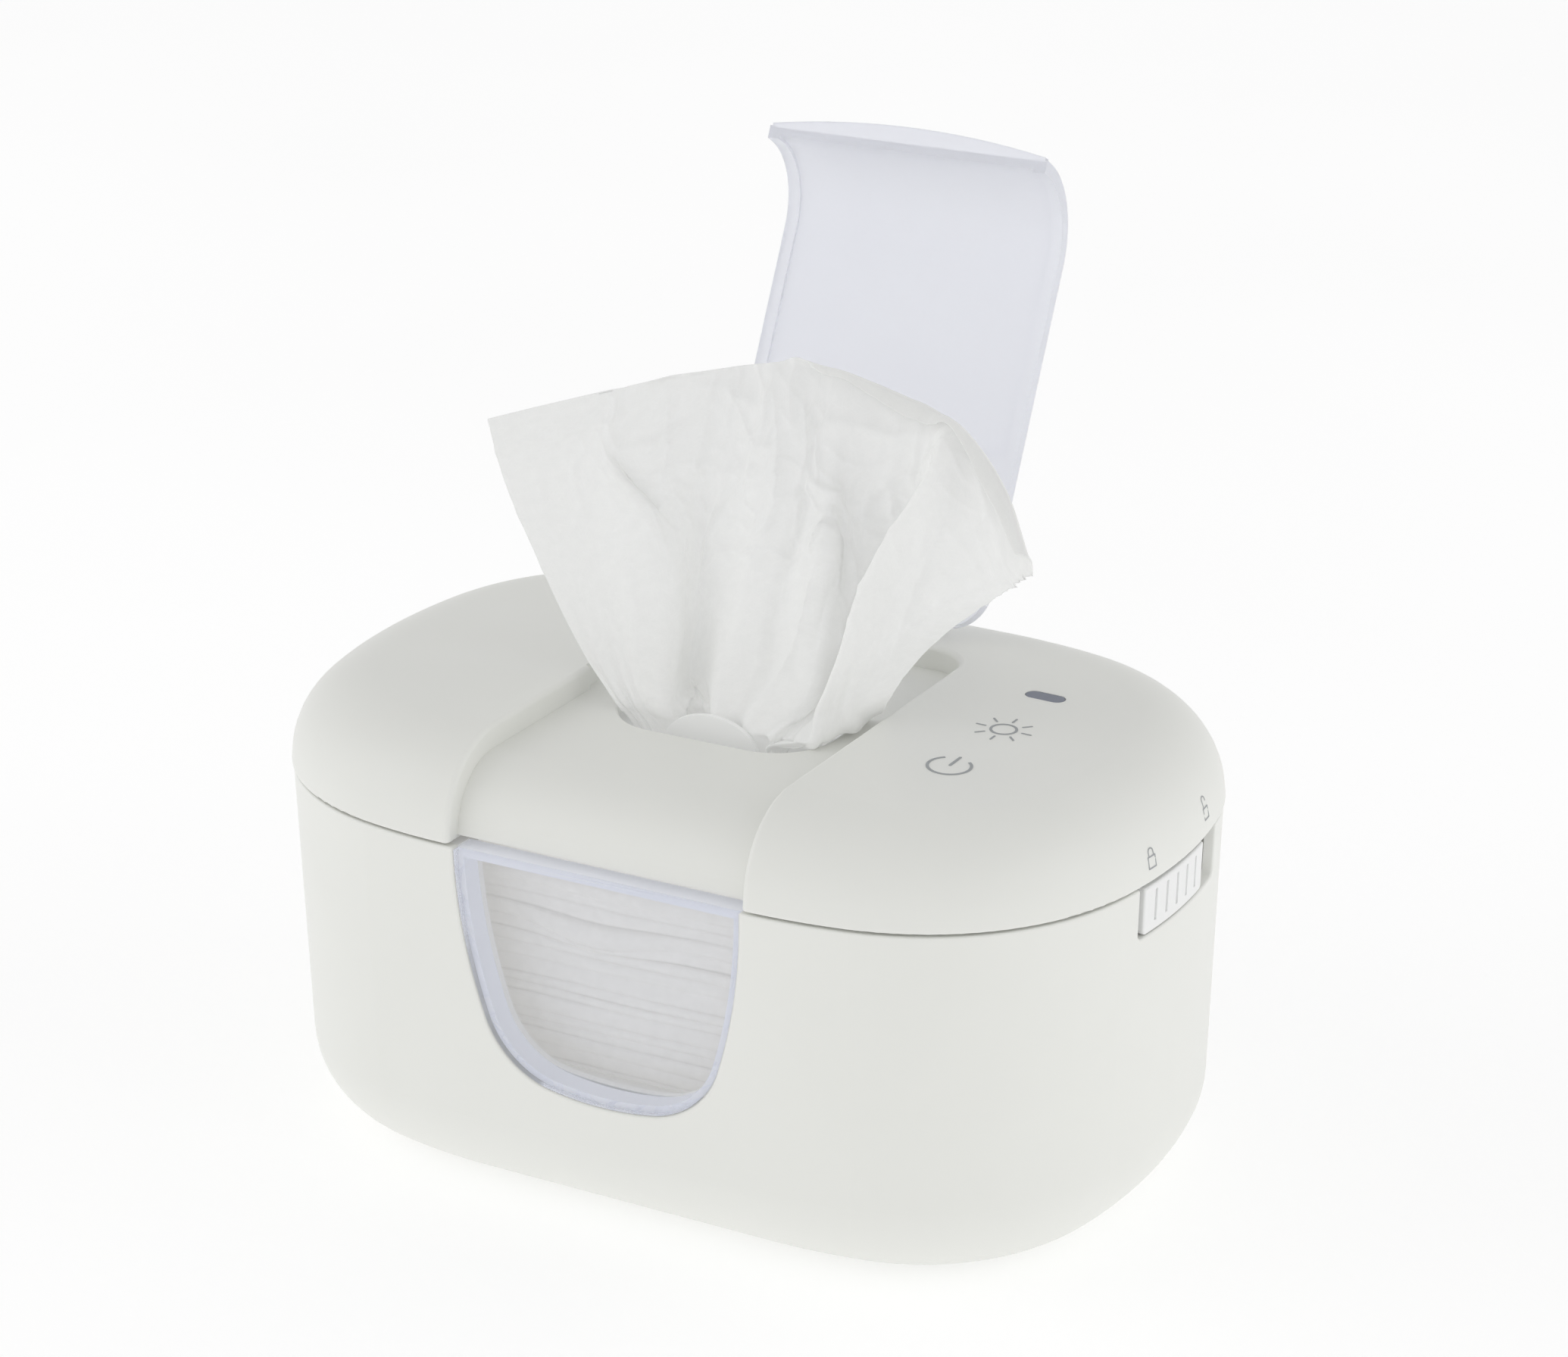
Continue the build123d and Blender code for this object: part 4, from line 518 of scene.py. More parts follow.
def printed(name, strokes, centre, out, up):
    start()
    for stroke in strokes:
        stroke.select_set(True)
    bpy.context.view_layer.objects.active = strokes[0]
    bpy.ops.object.join()
    sign = bpy.context.object
    sign.name = sign.data.name = name
    out = Vector(out).normalized()
    side = Vector(up).cross(out).normalized()
    sign.matrix_world = Matrix.Translation((Vector(centre) + out * 3) * MM) @ Matrix(
        (side, out.cross(side), out)).transposed().to_4x4()
    lay = sign.modifiers.new("lay", "SHRINKWRAP")
    lay.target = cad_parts["top_cover"]
    lay.wrap_method = "PROJECT"
    lay.use_project_z = True
    lay.use_negative_direction = True
    lay.use_positive_direction = False
    lay.project_limit = 8 * MM
    lay.offset = 0.03 * MM
    coat = sign.modifiers.new("coat", "SOLIDIFY")
    coat.thickness = 0.03 * MM
    coat.offset = 1
    bpy.ops.object.modifier_apply(modifier="lay")
    bpy.ops.object.modifier_apply(modifier="coat")
    bpy.ops.object.transform_apply(location=True, rotation=True, scale=True)
    sign.data.materials.clear()
    sign.data.materials.append(ink)
    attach(sign, "cover") or sign
    print(name, "faces:", len(sign.data.polygons))
    return sign


# %% Power sign and sun sign
printed(
    "power_sign",
    [ring(5.0, 0.68, keep=lambda a: abs(a - 90) > 38), bar((0, 0.35), (0, 5.1), 0.72)],
    (60.6, -23.1, 106.5), (0, 0, 1), (0, 1, 0),
)
rays = []
for eighth in range(8):
    aim = Vector((math.cos(eighth * math.pi / 4), math.sin(eighth * math.pi / 4)))
    rays.append(bar(aim * 4.4, aim * 6.4, 0.5))
printed("sun_sign", [ring(3.1, 0.6), *rays], (61.5, 0.8, 106.5), (0, 0, 1), (0, 1, 0))


# %% Padlock signs
def padlock(lift, open_side):
    loop = [ring(1.05, 0.3, (0, 1.15 + lift), keep=lambda a: a > -4)]
    left_foot = 0.35
    right_foot = 0.95 + lift if open_side else 0.35
    legs = [
        bar((-0.9, left_foot), (-0.9, 1.1 + lift), 0.3),
        bar((0.9, right_foot), (0.9, 1.1 + lift), 0.3),
    ]
    body = [
        bar((-1.35, 0.3), (1.35, 0.3), 0.32), bar((-1.35, -2.2), (1.35, -2.2), 0.32),
        bar((-1.35, -2.2), (-1.35, 0.3), 0.32), bar((1.35, -2.2), (1.35, 0.3), 0.32),
    ]
    return loop + legs + body


printed("locked_sign", padlock(0, False), (103.4, -14.0, 91.6), (0.96, -0.12, 0.24), (0, 0, 1))
printed("unlocked_sign", padlock(0.75, True), (103.3, 14.0, 92.2), (0.96, 0.11, 0.24), (0, 0, 1))

# %% [markdown]
# ## Wipe material
#
# A wipe is non-woven: short fibres that lie in every direction and are pressed
# flat. Stretched noise laid over itself at three angles looks like that. The sheet
# carries its own UV map in metres, so the fibres keep their size and turn with
# the folds. Thin damp cloth lets light through, so part of its colour is subsurface.

# %% Wipe fibres, a node group
fibre_group, given, result = new_group(
    "wipe_fibres",
    [("Colour", COLOUR, WHITE), ("Thin Colour", COLOUR, WHITE), ("Fibre", NUMBER, 0.35),
     ("Roughness", NUMBER, 0.8)],
    [("Colour", COLOUR), ("Roughness", NUMBER), ("Height", NUMBER)],
)
cloth = node(fibre_group, "ShaderNodeUVMap").outputs["UV"]
fineness = node(fibre_group, "ShaderNodeMath", {0: 1000.0, 1: given["Fibre"]}, operation="DIVIDE")
layers = []
for angle in (0.35, 1.45, 2.5):
    turned = node(fibre_group, "ShaderNodeMapping", {"Vector": cloth, "Rotation": (0, 0, angle)})
    pulled = node(fibre_group, "ShaderNodeMapping", {
        "Vector": turned.outputs["Vector"], "Scale": (0.13, 1.0, 1.0)})
    layers.append(node(fibre_group, "ShaderNodeTexNoise", {
        "Vector": pulled.outputs["Vector"], "Scale": fineness.outputs[0], "Detail": 1.0,
    }).outputs["Fac"])
pair = node(fibre_group, "ShaderNodeMath", {0: layers[0], 1: layers[1]}, operation="MAXIMUM")
felt = node(fibre_group, "ShaderNodeMath", {0: pair.outputs[0], 1: layers[2]}, operation="MAXIMUM")
cloud = node(fibre_group, "ShaderNodeTexNoise", {"Vector": cloth, "Scale": 330.0, "Detail": 4.0})
body = node(fibre_group, "ShaderNodeMath", {0: felt.outputs[0], 1: cloud.outputs["Fac"]}, operation="ADD")
thick = node(fibre_group, "ShaderNodeMapRange", {
    "Value": body.outputs[0], "From Min": 0.85, "From Max": 1.35})
mixed = node(fibre_group, "ShaderNodeMix", {
    "Factor": thick.outputs["Result"], 6: given["Thin Colour"], 7: given["Colour"],
}, data_type="RGBA")
rough = node(fibre_group, "ShaderNodeMath", {
    0: thick.outputs["Result"], 1: 0.12, 2: given["Roughness"]}, operation="MULTIPLY_ADD")
fibre_group.links.new(mixed.outputs[2], result["Colour"])
fibre_group.links.new(rough.outputs[0], result["Roughness"])
fibre_group.links.new(body.outputs[0], result["Height"])


def fibrous(name, colour, thin, fibre, roughness, bump, far=1.0, **sockets):
    """Fibres in two colours; far is how bright the cloth is still painted 0.1 m up its map, a painted shade
    towards the top.
    """
    material, tree, shader = new_material(name, **sockets)
    finish = node(tree, "ShaderNodeGroup", node_tree=fibre_group)
    finish.inputs["Colour"].default_value = (*colour, 1)
    finish.inputs["Thin Colour"].default_value = (*thin, 1)
    finish.inputs["Fibre"].default_value = fibre
    finish.inputs["Roughness"].default_value = roughness
    relief = node(tree, "ShaderNodeBump", {
        "Height": finish.outputs["Height"], "Strength": 0.6, "Distance": bump * MM,
    })
    # When far is below 1, the colour is darkened up the cloth's map as painted shade.
    upward = node(tree, "ShaderNodeSeparateXYZ", {"Vector": node(tree, "ShaderNodeUVMap").outputs["UV"]})
    upward_shade = node(tree, "ShaderNodeMapRange", {
        "Value": upward.outputs["Y"], "From Min": 0.03, "From Max": 0.1, "To Min": 1.0, "To Max": far})
    shaded_colour = node(tree, "ShaderNodeVectorMath", {
        0: finish.outputs["Colour"], "Scale": upward_shade.outputs["Result"]}, operation="SCALE")
    tree.links.new(shaded_colour.outputs["Vector"], shader.inputs["Base Color"])
    tree.links.new(finish.outputs["Roughness"], shader.inputs["Roughness"])
    tree.links.new(relief.outputs["Normal"], shader.inputs["Normal"])
    return material


# %% [markdown]
# ## Stack of folded wipes
#
# Behind the window lies a pack of damp wipes, each folded over and laid on the
# last. From outside they are soft wavy bands with dark lines between them, and
# here and there one has slid out. Modelling every sheet would be slow and
# would show no more, so the stack is one closed skin. Its side goes round the pack
# in rows, and each wipe's edge is a small bulge in those rows.

# %% Outline of the pack, evenly spaced
def pack_outline(length, depth, radius, count):
    straight_x, straight_y = length - 2 * radius, depth - 2 * radius
    quarter = math.pi * radius / 2
    runs = [straight_x / 2, quarter, straight_y, quarter, straight_x, quarter, straight_y, quarter,
            straight_x / 2]
    along = np.linspace(0, sum(runs), count, endpoint=False)
    spots, outs = [], []
    for s in along:
        at, way, turned = np.array([0.0, -depth / 2]), 0.0, 0
        for number, run in enumerate(runs):
            step = min(s, run)
            if number % 2 == 0:
                at = at + step * np.array([math.cos(way), math.sin(way)])
            else:
                swing = step / radius
                hub = at + radius * np.array([-math.sin(way), math.cos(way)])
                way += swing
                at = hub + radius * np.array([math.sin(way), -math.cos(way)])
            s -= step
            if s <= 1e-9:
                break
        spots.append(at)
        outs.append([math.sin(way), -math.cos(way)])
    return np.array(spots), np.array(outs), along


low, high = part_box("wipe_stack")
PACK_LENGTH, PACK_DEPTH = (high.x - low.x) / MM, (high.y - low.y) / MM
PACK_FOOT, PACK_TOP = low.z / MM, high.z / MM
PACK_CORNER = 30.0
PACK_ROOM = 1.2             # the outline lies this far inside the pack's box, for the bulges
OUTLINE_POINTS = 320
WIPE_COUNT = 18
spots, outs, along = pack_outline(
    PACK_LENGTH - 2 * PACK_ROOM, PACK_DEPTH - 2 * PACK_ROOM, PACK_CORNER - PACK_ROOM, OUTLINE_POINTS)
print("pack:", round(PACK_LENGTH), "x", round(PACK_DEPTH), "x", round(PACK_TOP - PACK_FOOT), "mm")

# %% The side of the pack, wipe by wipe
rng = np.random.default_rng(11)


def slow_wave(along, total, count, seed):
    """A wave that closes on itself round the pack, from -1 to 1."""
    made = np.zeros_like(along)
    pick = np.random.default_rng(seed)
    for turn in range(1, count + 1):
        made += np.cos(2 * np.pi * turn * along / total + pick.uniform(0, 7)) / turn ** 0.6
    return made / np.abs(made).max()


total = 2 * np.pi * (PACK_CORNER - PACK_ROOM) + 2 * (PACK_LENGTH + PACK_DEPTH - 4 * PACK_CORNER)
shared = [slow_wave(along, total, 9, 40 + n) for n in range(3)]
thickness = rng.uniform(0.65, 1.45, WIPE_COUNT)
share = np.concatenate([[0], np.cumsum(thickness)]) / thickness.sum()
edges = PACK_FOOT + 0.3 + share * (PACK_TOP - PACK_FOOT - 1.6)

lines = []
for k, z in enumerate(edges):
    up = (z - PACK_FOOT) / (PACK_TOP - PACK_FOOT)
    calm = min(1.0, 4 * up) * min(1.0, 5 * (1 - up))
    wave = shared[0] * (1 - up) * 0.7 + shared[1] * up * 1.3 + slow_wave(along, total, 10, 80 + k) * 0.3
    lines.append(z + wave * calm)
lines = np.array(lines)

FOLD_X, FOLD_Z = -10.0, 64.0
front_x = np.where(spots[:, 1] < 0, spots[:, 0], 999.0)
sag = 3.6 * np.exp(-(((front_x - FOLD_X) / 14.0) ** 2))
slid = 1.5 * np.exp(-(((front_x - FOLD_X) / 20.0) ** 2))
for k in range(1, WIPE_COUNT):
    lines[k] -= sag * math.exp(-(((edges[k] - FOLD_Z) / 3.2) ** 2))
lines = np.maximum.accumulate(lines + np.arange(len(lines))[:, None] * 1e-3, axis=0)

rows = []
STEPS = (0.0, 0.07, 0.2, 0.5, 0.8, 0.93)
for k in range(WIPE_COUNT):
    out = rng.uniform(-0.45, 0.35) + 0.5 * slow_wave(along, total, 12, 200 + k)
    out = out + slid * math.exp(-(((edges[k] - FOLD_Z + 1) / 2.6) ** 2))
    for t in STEPS:
        groove = -0.5 * math.exp(-t / 0.07) - 0.5 * math.exp(-(1 - t) / 0.07)
        bulge = out * math.sin(math.pi * min(max(t, 0.06), 0.94)) ** 0.4
        rows.append((lines[k] + t * (lines[k + 1] - lines[k]), bulge + groove))
rows.append((lines[-1], np.zeros_like(along)))


# %% Closing the pack with a soft top and a flat foot
def rounded_in(z, radius, edge):
    """How far a rounded edge draws the side in, for a height z above or below it."""
    gap = np.clip(radius - abs(z - edge), 0, radius)
    return radius - np.sqrt(radius ** 2 - gap ** 2)


points, uvs = [], []
count = len(along)
for z, out in rows:
    inward = rounded_in(z, 3.5, PACK_FOOT + 0.3) + rounded_in(z, 3.0, PACK_TOP - 1.3) * 0.8
    xy = spots + outs * (out - inward)[:, None]
    points.extend(np.column_stack([xy, z]))
    uvs.extend(np.column_stack([along, z]))
side_rows = len(rows)
CAP_RINGS = 12
for top in (True, False):
    rim = np.array(points[(side_rows - 1) * count:side_rows * count] if top else points[:count])
    for r in range(1, CAP_RINGS + 1):
        share = 1 - r / (CAP_RINGS + 0.35)
        flat = rim * np.array([share, share, 1])
        if top:
            lift = [
                0.55 * noise.noise(Vector((x * 0.045, y * 0.06, 3.1)))
                + 0.25 * noise.noise(Vector((x * 0.16, y * 0.2, 7.7)))
                for x, y, _ in flat
            ]
            flat[:, 2] = PACK_TOP - 0.75 + np.array(lift) * min(1.0, r / 3)
        points.extend(flat)
        uvs.extend(flat[:, :2])
faces = []


def band(first, second):
    for i in range(count):
        j = (i + 1) % count
        faces.append((first + i, first + j, second + j, second + i))


for r in range(side_rows - 1):
    band(r * count, (r + 1) * count)
base = (side_rows - 1) * count
for r in range(CAP_RINGS):
    band(base + r * count, base + (r + 1) * count)
top_ring = base + CAP_RINGS * count
faces.append(tuple(range(top_ring, top_ring + count)))
below = [0] + [side_rows * count + (CAP_RINGS + r) * count for r in range(CAP_RINGS)]
for outer, inner in zip(below, below[1:]):
    band(inner, outer)
faces.append(tuple(reversed(range(below[-1], below[-1] + count))))


# %% Building a mesh with its own map
def cloth_object(name, points, uvs, faces, material, body):
    mesh = bpy.data.meshes.new(name)
    mesh.from_pydata([tuple(p) for p in np.asarray(points) * MM], [], faces)
    layer = mesh.uv_layers.new(name="cloth")
    corners = np.empty(len(mesh.loops), dtype=np.int32)
    mesh.loops.foreach_get("vertex_index", corners)
    layer.data.foreach_set("uv", (np.asarray(uvs)[corners] * MM).astype(np.float32).ravel())
    mesh.materials.append(material)
    made = bpy.data.objects.new(name, mesh)
    bpy.context.scene.collection.objects.link(made)
    start()
    made.select_set(True)
    bpy.context.view_layer.objects.active = made
    bpy.ops.object.shade_smooth()
    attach(made, body)
    return made


# The stack's emission is painted light, a glow that lifts the shade inside the closed tank behind the window.
damp_wipes = fibrous("damp_wipes", (0.775, 0.765, 0.74), (0.73, 0.72, 0.695), 0.3, 0.55, 0.012,
                     Emission_Color=(0.98, 0.97, 0.95, 1), Emission_Strength=0.17)
stack = cloth_object("folded_wipes", points, uvs, faces, damp_wipes, "tub")
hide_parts("wipe_stack")
print("stack faces:", len(stack.data.polygons))

# %% [markdown]
# ## The wipe in the mouth
#
# The next wipe is pulled half out: gathered in the mouth, fanned out above it, with
# a wide fold over on the right. Cloth simulation would not stop at this exact pose,
# so the sheet's shape is given. A net of points gives the big folds, and a smooth
# curve runs through it both ways. Where two columns of the net are close, the cloth
# folds sharply. Pleats, ridges and crumples are then added along its normal.

# %% A net of points for the big folds (rows from the mouth up to the hem)
NET = np.array([
    [
        (-18.0, -16.6, 84.6), (-16.9, -16.6, 84.6), (-15.2, -15.7, 84.6), (-11.8, -16.4, 84.6),
        (-9.5, -16.6, 84.6), (-8.7, -15.0, 84.6), (-7.4, -11.2, 84.6), (-5.2, -9.2, 84.6),
        (-3.0, -10.7, 84.6), (-0.9, -14.5, 84.6), (1.5, -15.1, 84.6), (3.7, -14.2, 84.6),
        (5.9, -15.3, 84.6), (8.3, -16.6, 84.6), (10.5, -16.6, 84.6), (12.4, -16.6, 84.6),
        (13.9, -16.3, 84.6), (14.9, -16.1, 84.6), (13.5, -16.4, 84.6), (15.3, -14.8, 84.6),
        (17.0, -10.7, 84.6), (18.8, -6.6, 84.6), (19.0, -2.5, 84.6), (19.0, 1.6, 84.6),
    ],
    [
        (-19.0, -16.6, 96.4), (-17.8, -16.6, 96.4), (-16.0, -15.7, 96.4), (-12.5, -16.4, 96.4),
        (-10.0, -16.6, 96.4), (-9.2, -15.0, 96.4), (-7.8, -11.2, 96.4), (-5.5, -9.2, 96.4),
        (-3.1, -10.7, 96.4), (-0.9, -14.5, 96.4), (1.6, -15.1, 96.4), (3.9, -14.2, 96.4),
        (6.2, -15.3, 96.4), (8.7, -16.6, 96.4), (11.1, -16.6, 96.4), (13.1, -16.6, 96.4),
        (14.7, -16.3, 96.4), (15.8, -16.1, 96.4), (13.5, -16.4, 96.4), (15.3, -14.8, 96.4),
        (17.0, -10.7, 96.4), (18.8, -6.6, 96.4), (19.0, -2.5, 96.4), (19.0, 1.6, 96.4),
    ],
    [
        (-22.6, -16.6, 101.2), (-21.2, -16.6, 101.2), (-19.1, -15.7, 101.2), (-14.9, -16.4, 101.2),
        (-11.9, -16.6, 101.2), (-11.0, -15.0, 101.2), (-9.3, -11.2, 101.2), (-6.5, -9.2, 101.2),
        (-3.7, -10.7, 101.2), (-1.1, -14.5, 101.2), (1.9, -15.1, 101.2), (4.7, -14.2, 101.2),
        (7.4, -15.3, 101.2), (10.4, -16.6, 101.2), (13.2, -16.6, 101.2), (15.6, -16.6, 101.2),
        (17.5, -16.3, 101.2), (18.8, -16.1, 101.2), (15.0, -18.9, 101.2), (16.7, -17.3, 101.2),
        (21.2, -13.2, 101.2), (23.0, -7.1, 101.2), (23.2, -3.0, 101.2), (23.2, 1.1, 101.2),
    ],
    [
        (-24.3, -17.6, 103.2), (-22.8, -17.2, 103.2), (-20.5, -16.2, 103.2), (-16.0, -16.9, 103.2),
        (-12.8, -17.2, 103.2), (-11.8, -15.5, 103.2), (-10.0, -11.5, 103.2), (-7.0, -9.5, 103.2),
        (-4.0, -11.0, 103.2), (-1.2, -15.0, 103.2), (2.0, -15.6, 103.2), (5.0, -14.6, 103.2),
        (8.0, -15.8, 103.2), (11.2, -17.8, 103.2), (14.2, -18.4, 103.2), (16.8, -17.6, 103.2),
        (18.8, -16.8, 103.2), (20.2, -16.6, 103.2), (22.3, -19.4, 102.9), (23.7, -18.6, 102.9),
        (25.9, -15.4, 102.9), (27.2, -10.2, 102.9), (27.9, -4.3, 102.9), (28.5, 3.1, 102.9),
    ],
    [
        (-32.5, -15.0, 109.7), (-28.8, -14.3, 108.3), (-24.4, -13.7, 108.0), (-19.4, -14.3, 108.3),
        (-14.6, -14.8, 108.4), (-13.8, -13.3, 108.0), (-14.0, -7.0, 106.7), (-14.3, -2.5, 106.1),
        (-9.6, -4.6, 107.6), (-1.7, -10.9, 109.5), (4.8, -11.2, 109.9), (8.7, -9.7, 109.7),
        (14.2, -11.2, 110.8), (19.9, -12.9, 110.6), (21.7, -9.4, 109.8), (22.1, -4.0, 111.5),
        (23.9, -2.2, 111.3), (25.0, -9.4, 109.9), (25.0, -14.8, 111.1), (26.3, -14.8, 110.6),
        (27.9, -13.3, 109.7), (30.6, -11.5, 108.9), (34.6, -10.0, 110.5), (38.2, -7.6, 112.8),
    ],
    [
        (-40.7, -12.8, 119.6), (-35.4, -11.8, 119.7), (-29.2, -11.2, 121.5), (-22.2, -11.8, 124.7),
        (-17.5, -11.8, 125.6), (-14.5, -10.2, 125.0), (-13.4, -6.0, 124.4), (-11.6, -2.5, 123.6),
        (-5.9, -4.0, 125.1), (1.5, -8.5, 126.1), (7.2, -8.5, 126.2), (11.2, -7.2, 126.5),
        (16.7, -8.8, 127.1), (22.5, -10.1, 128.6), (24.5, -7.0, 127.0), (26.8, -2.8, 127.8),
        (30.7, -1.2, 127.1), (29.9, -7.5, 124.2), (29.3, -12.5, 125.0), (31.1, -12.8, 124.5),
        (34.6, -12.0, 122.7), (37.6, -10.8, 121.1), (41.2, -9.2, 120.5), (43.5, -7.8, 121.1),
    ],
    [
        (-50.4, -10.0, 133.2), (-43.5, -8.5, 135.1), (-35.0, -7.5, 138.0), (-24.9, -8.0, 142.1),
        (-21.3, -8.0, 143.4), (-17.9, -6.8, 142.0), (-14.1, -4.0, 141.3), (-10.6, -0.5, 139.9),
        (-3.0, -2.0, 141.6), (4.2, -4.8, 143.7), (9.7, -4.5, 144.5), (13.7, -3.2, 143.1),
        (18.3, -4.8, 146.0), (22.6, -6.2, 147.7), (23.4, -3.0, 144.6), (27.8, 0.5, 142.5),
        (35.8, 1.5, 141.8), (35.6, -4.5, 142.0), (34.4, -9.0, 143.2), (36.7, -9.3, 142.8),
        (40.9, -9.0, 137.5), (45.8, -8.5, 133.5), (50.0, -8.2, 132.0), (52.9, -7.5, 131.4),
    ],
    [
        (-58.0, -9.4, 148.5), (-49.9, -7.0, 151.4), (-41.2, -5.1, 154.8), (-34.8, -4.8, 156.6),
        (-33.4, -4.6, 156.4), (-31.0, -3.5, 154.9), (-20.8, -0.8, 156.7), (-10.5, 2.0, 157.5),
        (-2.2, 1.7, 158.9), (4.8, 0.5, 160.4), (9.5, 1.1, 160.9), (13.3, 2.0, 159.5),
        (16.0, 1.7, 158.3), (19.4, 1.7, 158.0), (22.1, 3.6, 157.9), (29.4, 5.4, 157.6),
        (39.4, 4.8, 157.7), (43.4, 0.5, 160.7), (44.3, -3.2, 161.9), (46.7, -3.9, 161.1),
        (52.3, -4.8, 155.9), (58.5, -6.3, 149.8), (63.4, -8.2, 144.7), (66.5, -9.4, 142.7),
    ],
    [
        (-61.3, -9.8, 161.1), (-52.1, -6.8, 164.0), (-42.1, -3.8, 167.2), (-34.4, -1.9, 169.6),
        (-31.2, -1.6, 170.5), (-28.2, -0.8, 171.6), (-21.3, 2.2, 173.7), (-11.6, 5.2, 175.7),
        (-4.9, 6.8, 177.1), (2.3, 7.5, 177.9), (6.5, 8.2, 178.2), (10.2, 9.0, 178.0),
        (13.4, 9.2, 177.9), (16.7, 9.4, 177.8), (21.3, 10.1, 176.7), (29.2, 10.9, 174.5),
        (38.0, 9.8, 172.9), (42.8, 7.5, 172.2), (45.3, 6.0, 171.8), (48.3, 4.9, 170.9),
        (55.7, 1.5, 167.0), (63.7, -3.8, 161.6), (69.6, -8.2, 153.9), (73.3, -11.2, 148.3),
    ],
])
ACROSS, UPWARD = 300, 170


# %% Smooth curves through the net
def knots(net, axis):
    """Places of the net's rows or columns from 0 to 1: close ones get little room, so they fold sharply."""
    gaps = np.linalg.norm(np.diff(net, axis=axis), axis=2).mean(axis=1 - axis) ** 0.7
    places = np.concatenate([[0], np.cumsum(gaps)])
    return places / places[-1]


def through(values, places, at, axis):
    """Runs a smooth curve through values that stand at places along an axis, read at other places."""
    values = np.moveaxis(values, axis, 0)
    gaps = np.diff(places)
    tail = (1,) * (values.ndim - 1)
    slopes = np.diff(values, axis=0) / gaps.reshape(-1, *tail)
    lean = np.empty_like(values)
    lean[0], lean[-1] = slopes[0], slopes[-1]
    share = (gaps[1:] / (gaps[1:] + gaps[:-1])).reshape(-1, *tail)
    lean[1:-1] = share * slopes[:-1] + (1 - share) * slopes[1:]
    i = np.clip(np.searchsorted(places, at, side="right") - 1, 0, len(gaps) - 1)
    t = ((at - places[i]) / gaps[i]).reshape(-1, *tail)
    run = gaps[i].reshape(-1, *tail)
    out = (
        (2 * t ** 3 - 3 * t ** 2 + 1) * values[i] + (t ** 3 - 2 * t ** 2 + t) * run * lean[i]
        + (3 * t ** 2 - 2 * t ** 3) * values[i + 1] + (t ** 3 - t ** 2) * run * lean[i + 1]
    )
    return np.moveaxis(out, 0, axis)


COLUMN_AT, ROW_AT = knots(NET, 1), knots(NET, 0)
U = np.linspace(0, 1, ACROSS)
V = np.linspace(0, 1, UPWARD)
base_sheet = through(through(NET, ROW_AT, V, 0), COLUMN_AT, U, 1)
print("sheet net:", base_sheet.shape)


# %% How far each point is along the flat sheet
def step(edge, width, value):
    """Goes softly from 0 to 1 over a width, half of it on each side of an edge."""
    t = np.clip((value - edge) / width + 0.5, 0, 1)
    return t * t * (3 - 2 * t)


def flat_lengths(surface, axis):
    gaps = np.linalg.norm(np.diff(surface, axis=axis), axis=2).mean(axis=1 - axis)
    return np.concatenate([[0], np.cumsum(gaps)])


uu, vv = np.meshgrid(U, V)
flat_x, flat_y = np.meshgrid(flat_lengths(base_sheet[UPWARD // 2:], 1), flat_lengths(base_sheet, 0))
print("flat sheet mm:", round(float(flat_x.max())), "x", round(float(flat_y.max())))


# %% Pleats, ridges and creases on the folded sheet
def facing(surface):
    n = np.cross(np.gradient(surface, axis=1), np.gradient(surface, axis=0))
    return n / np.maximum(np.linalg.norm(n, axis=2, keepdims=True), 1e-9)


def ridge(spots, width, height, sharp=True):
    """A ridge on the sheet through spots given as (net column, share of the way up)."""
    columns, ups = np.array(spots, float).T
    t = np.linspace(0, len(spots) - 1, 60)
    column = np.interp(t, range(len(spots)), columns)
    u = np.interp(column, range(len(COLUMN_AT)), COLUMN_AT)
    v = np.interp(t, range(len(spots)), ups)
    line = base_sheet[np.rint(v * (UPWARD - 1)).astype(int), np.rint(u * (ACROSS - 1)).astype(int)]
    swell = np.sin(np.pi * np.clip(t / t[-1] * 0.9 + 0.05, 0, 1)) ** 0.7 * height
    made = np.zeros(base_sheet.shape[:2])
    for spot, size in zip(line, swell):
        gap = np.linalg.norm(base_sheet - spot, axis=2) / width
        made = np.maximum(made, abs(size) * (np.exp(-gap) if sharp else np.exp(-gap ** 2)))
    return math.copysign(1, height) * made


relief = np.zeros_like(uu)
for number, (wave, size) in enumerate(((7.5, 0.5), (11.0, 0.6), (4.2, 0.22))):
    drift = 2.5 * np.sin(flat_x / 19 + number * 2)
    fan = flat_x * (1 - 0.35 * (1 - vv)) + drift
    relief += size * np.sin(2 * np.pi * fan / wave + 1.3 * number) * (1 - step(0.32, 0.5, vv))
print("pleats mm:", round(float(relief.min()), 2), round(float(relief.max()), 2))

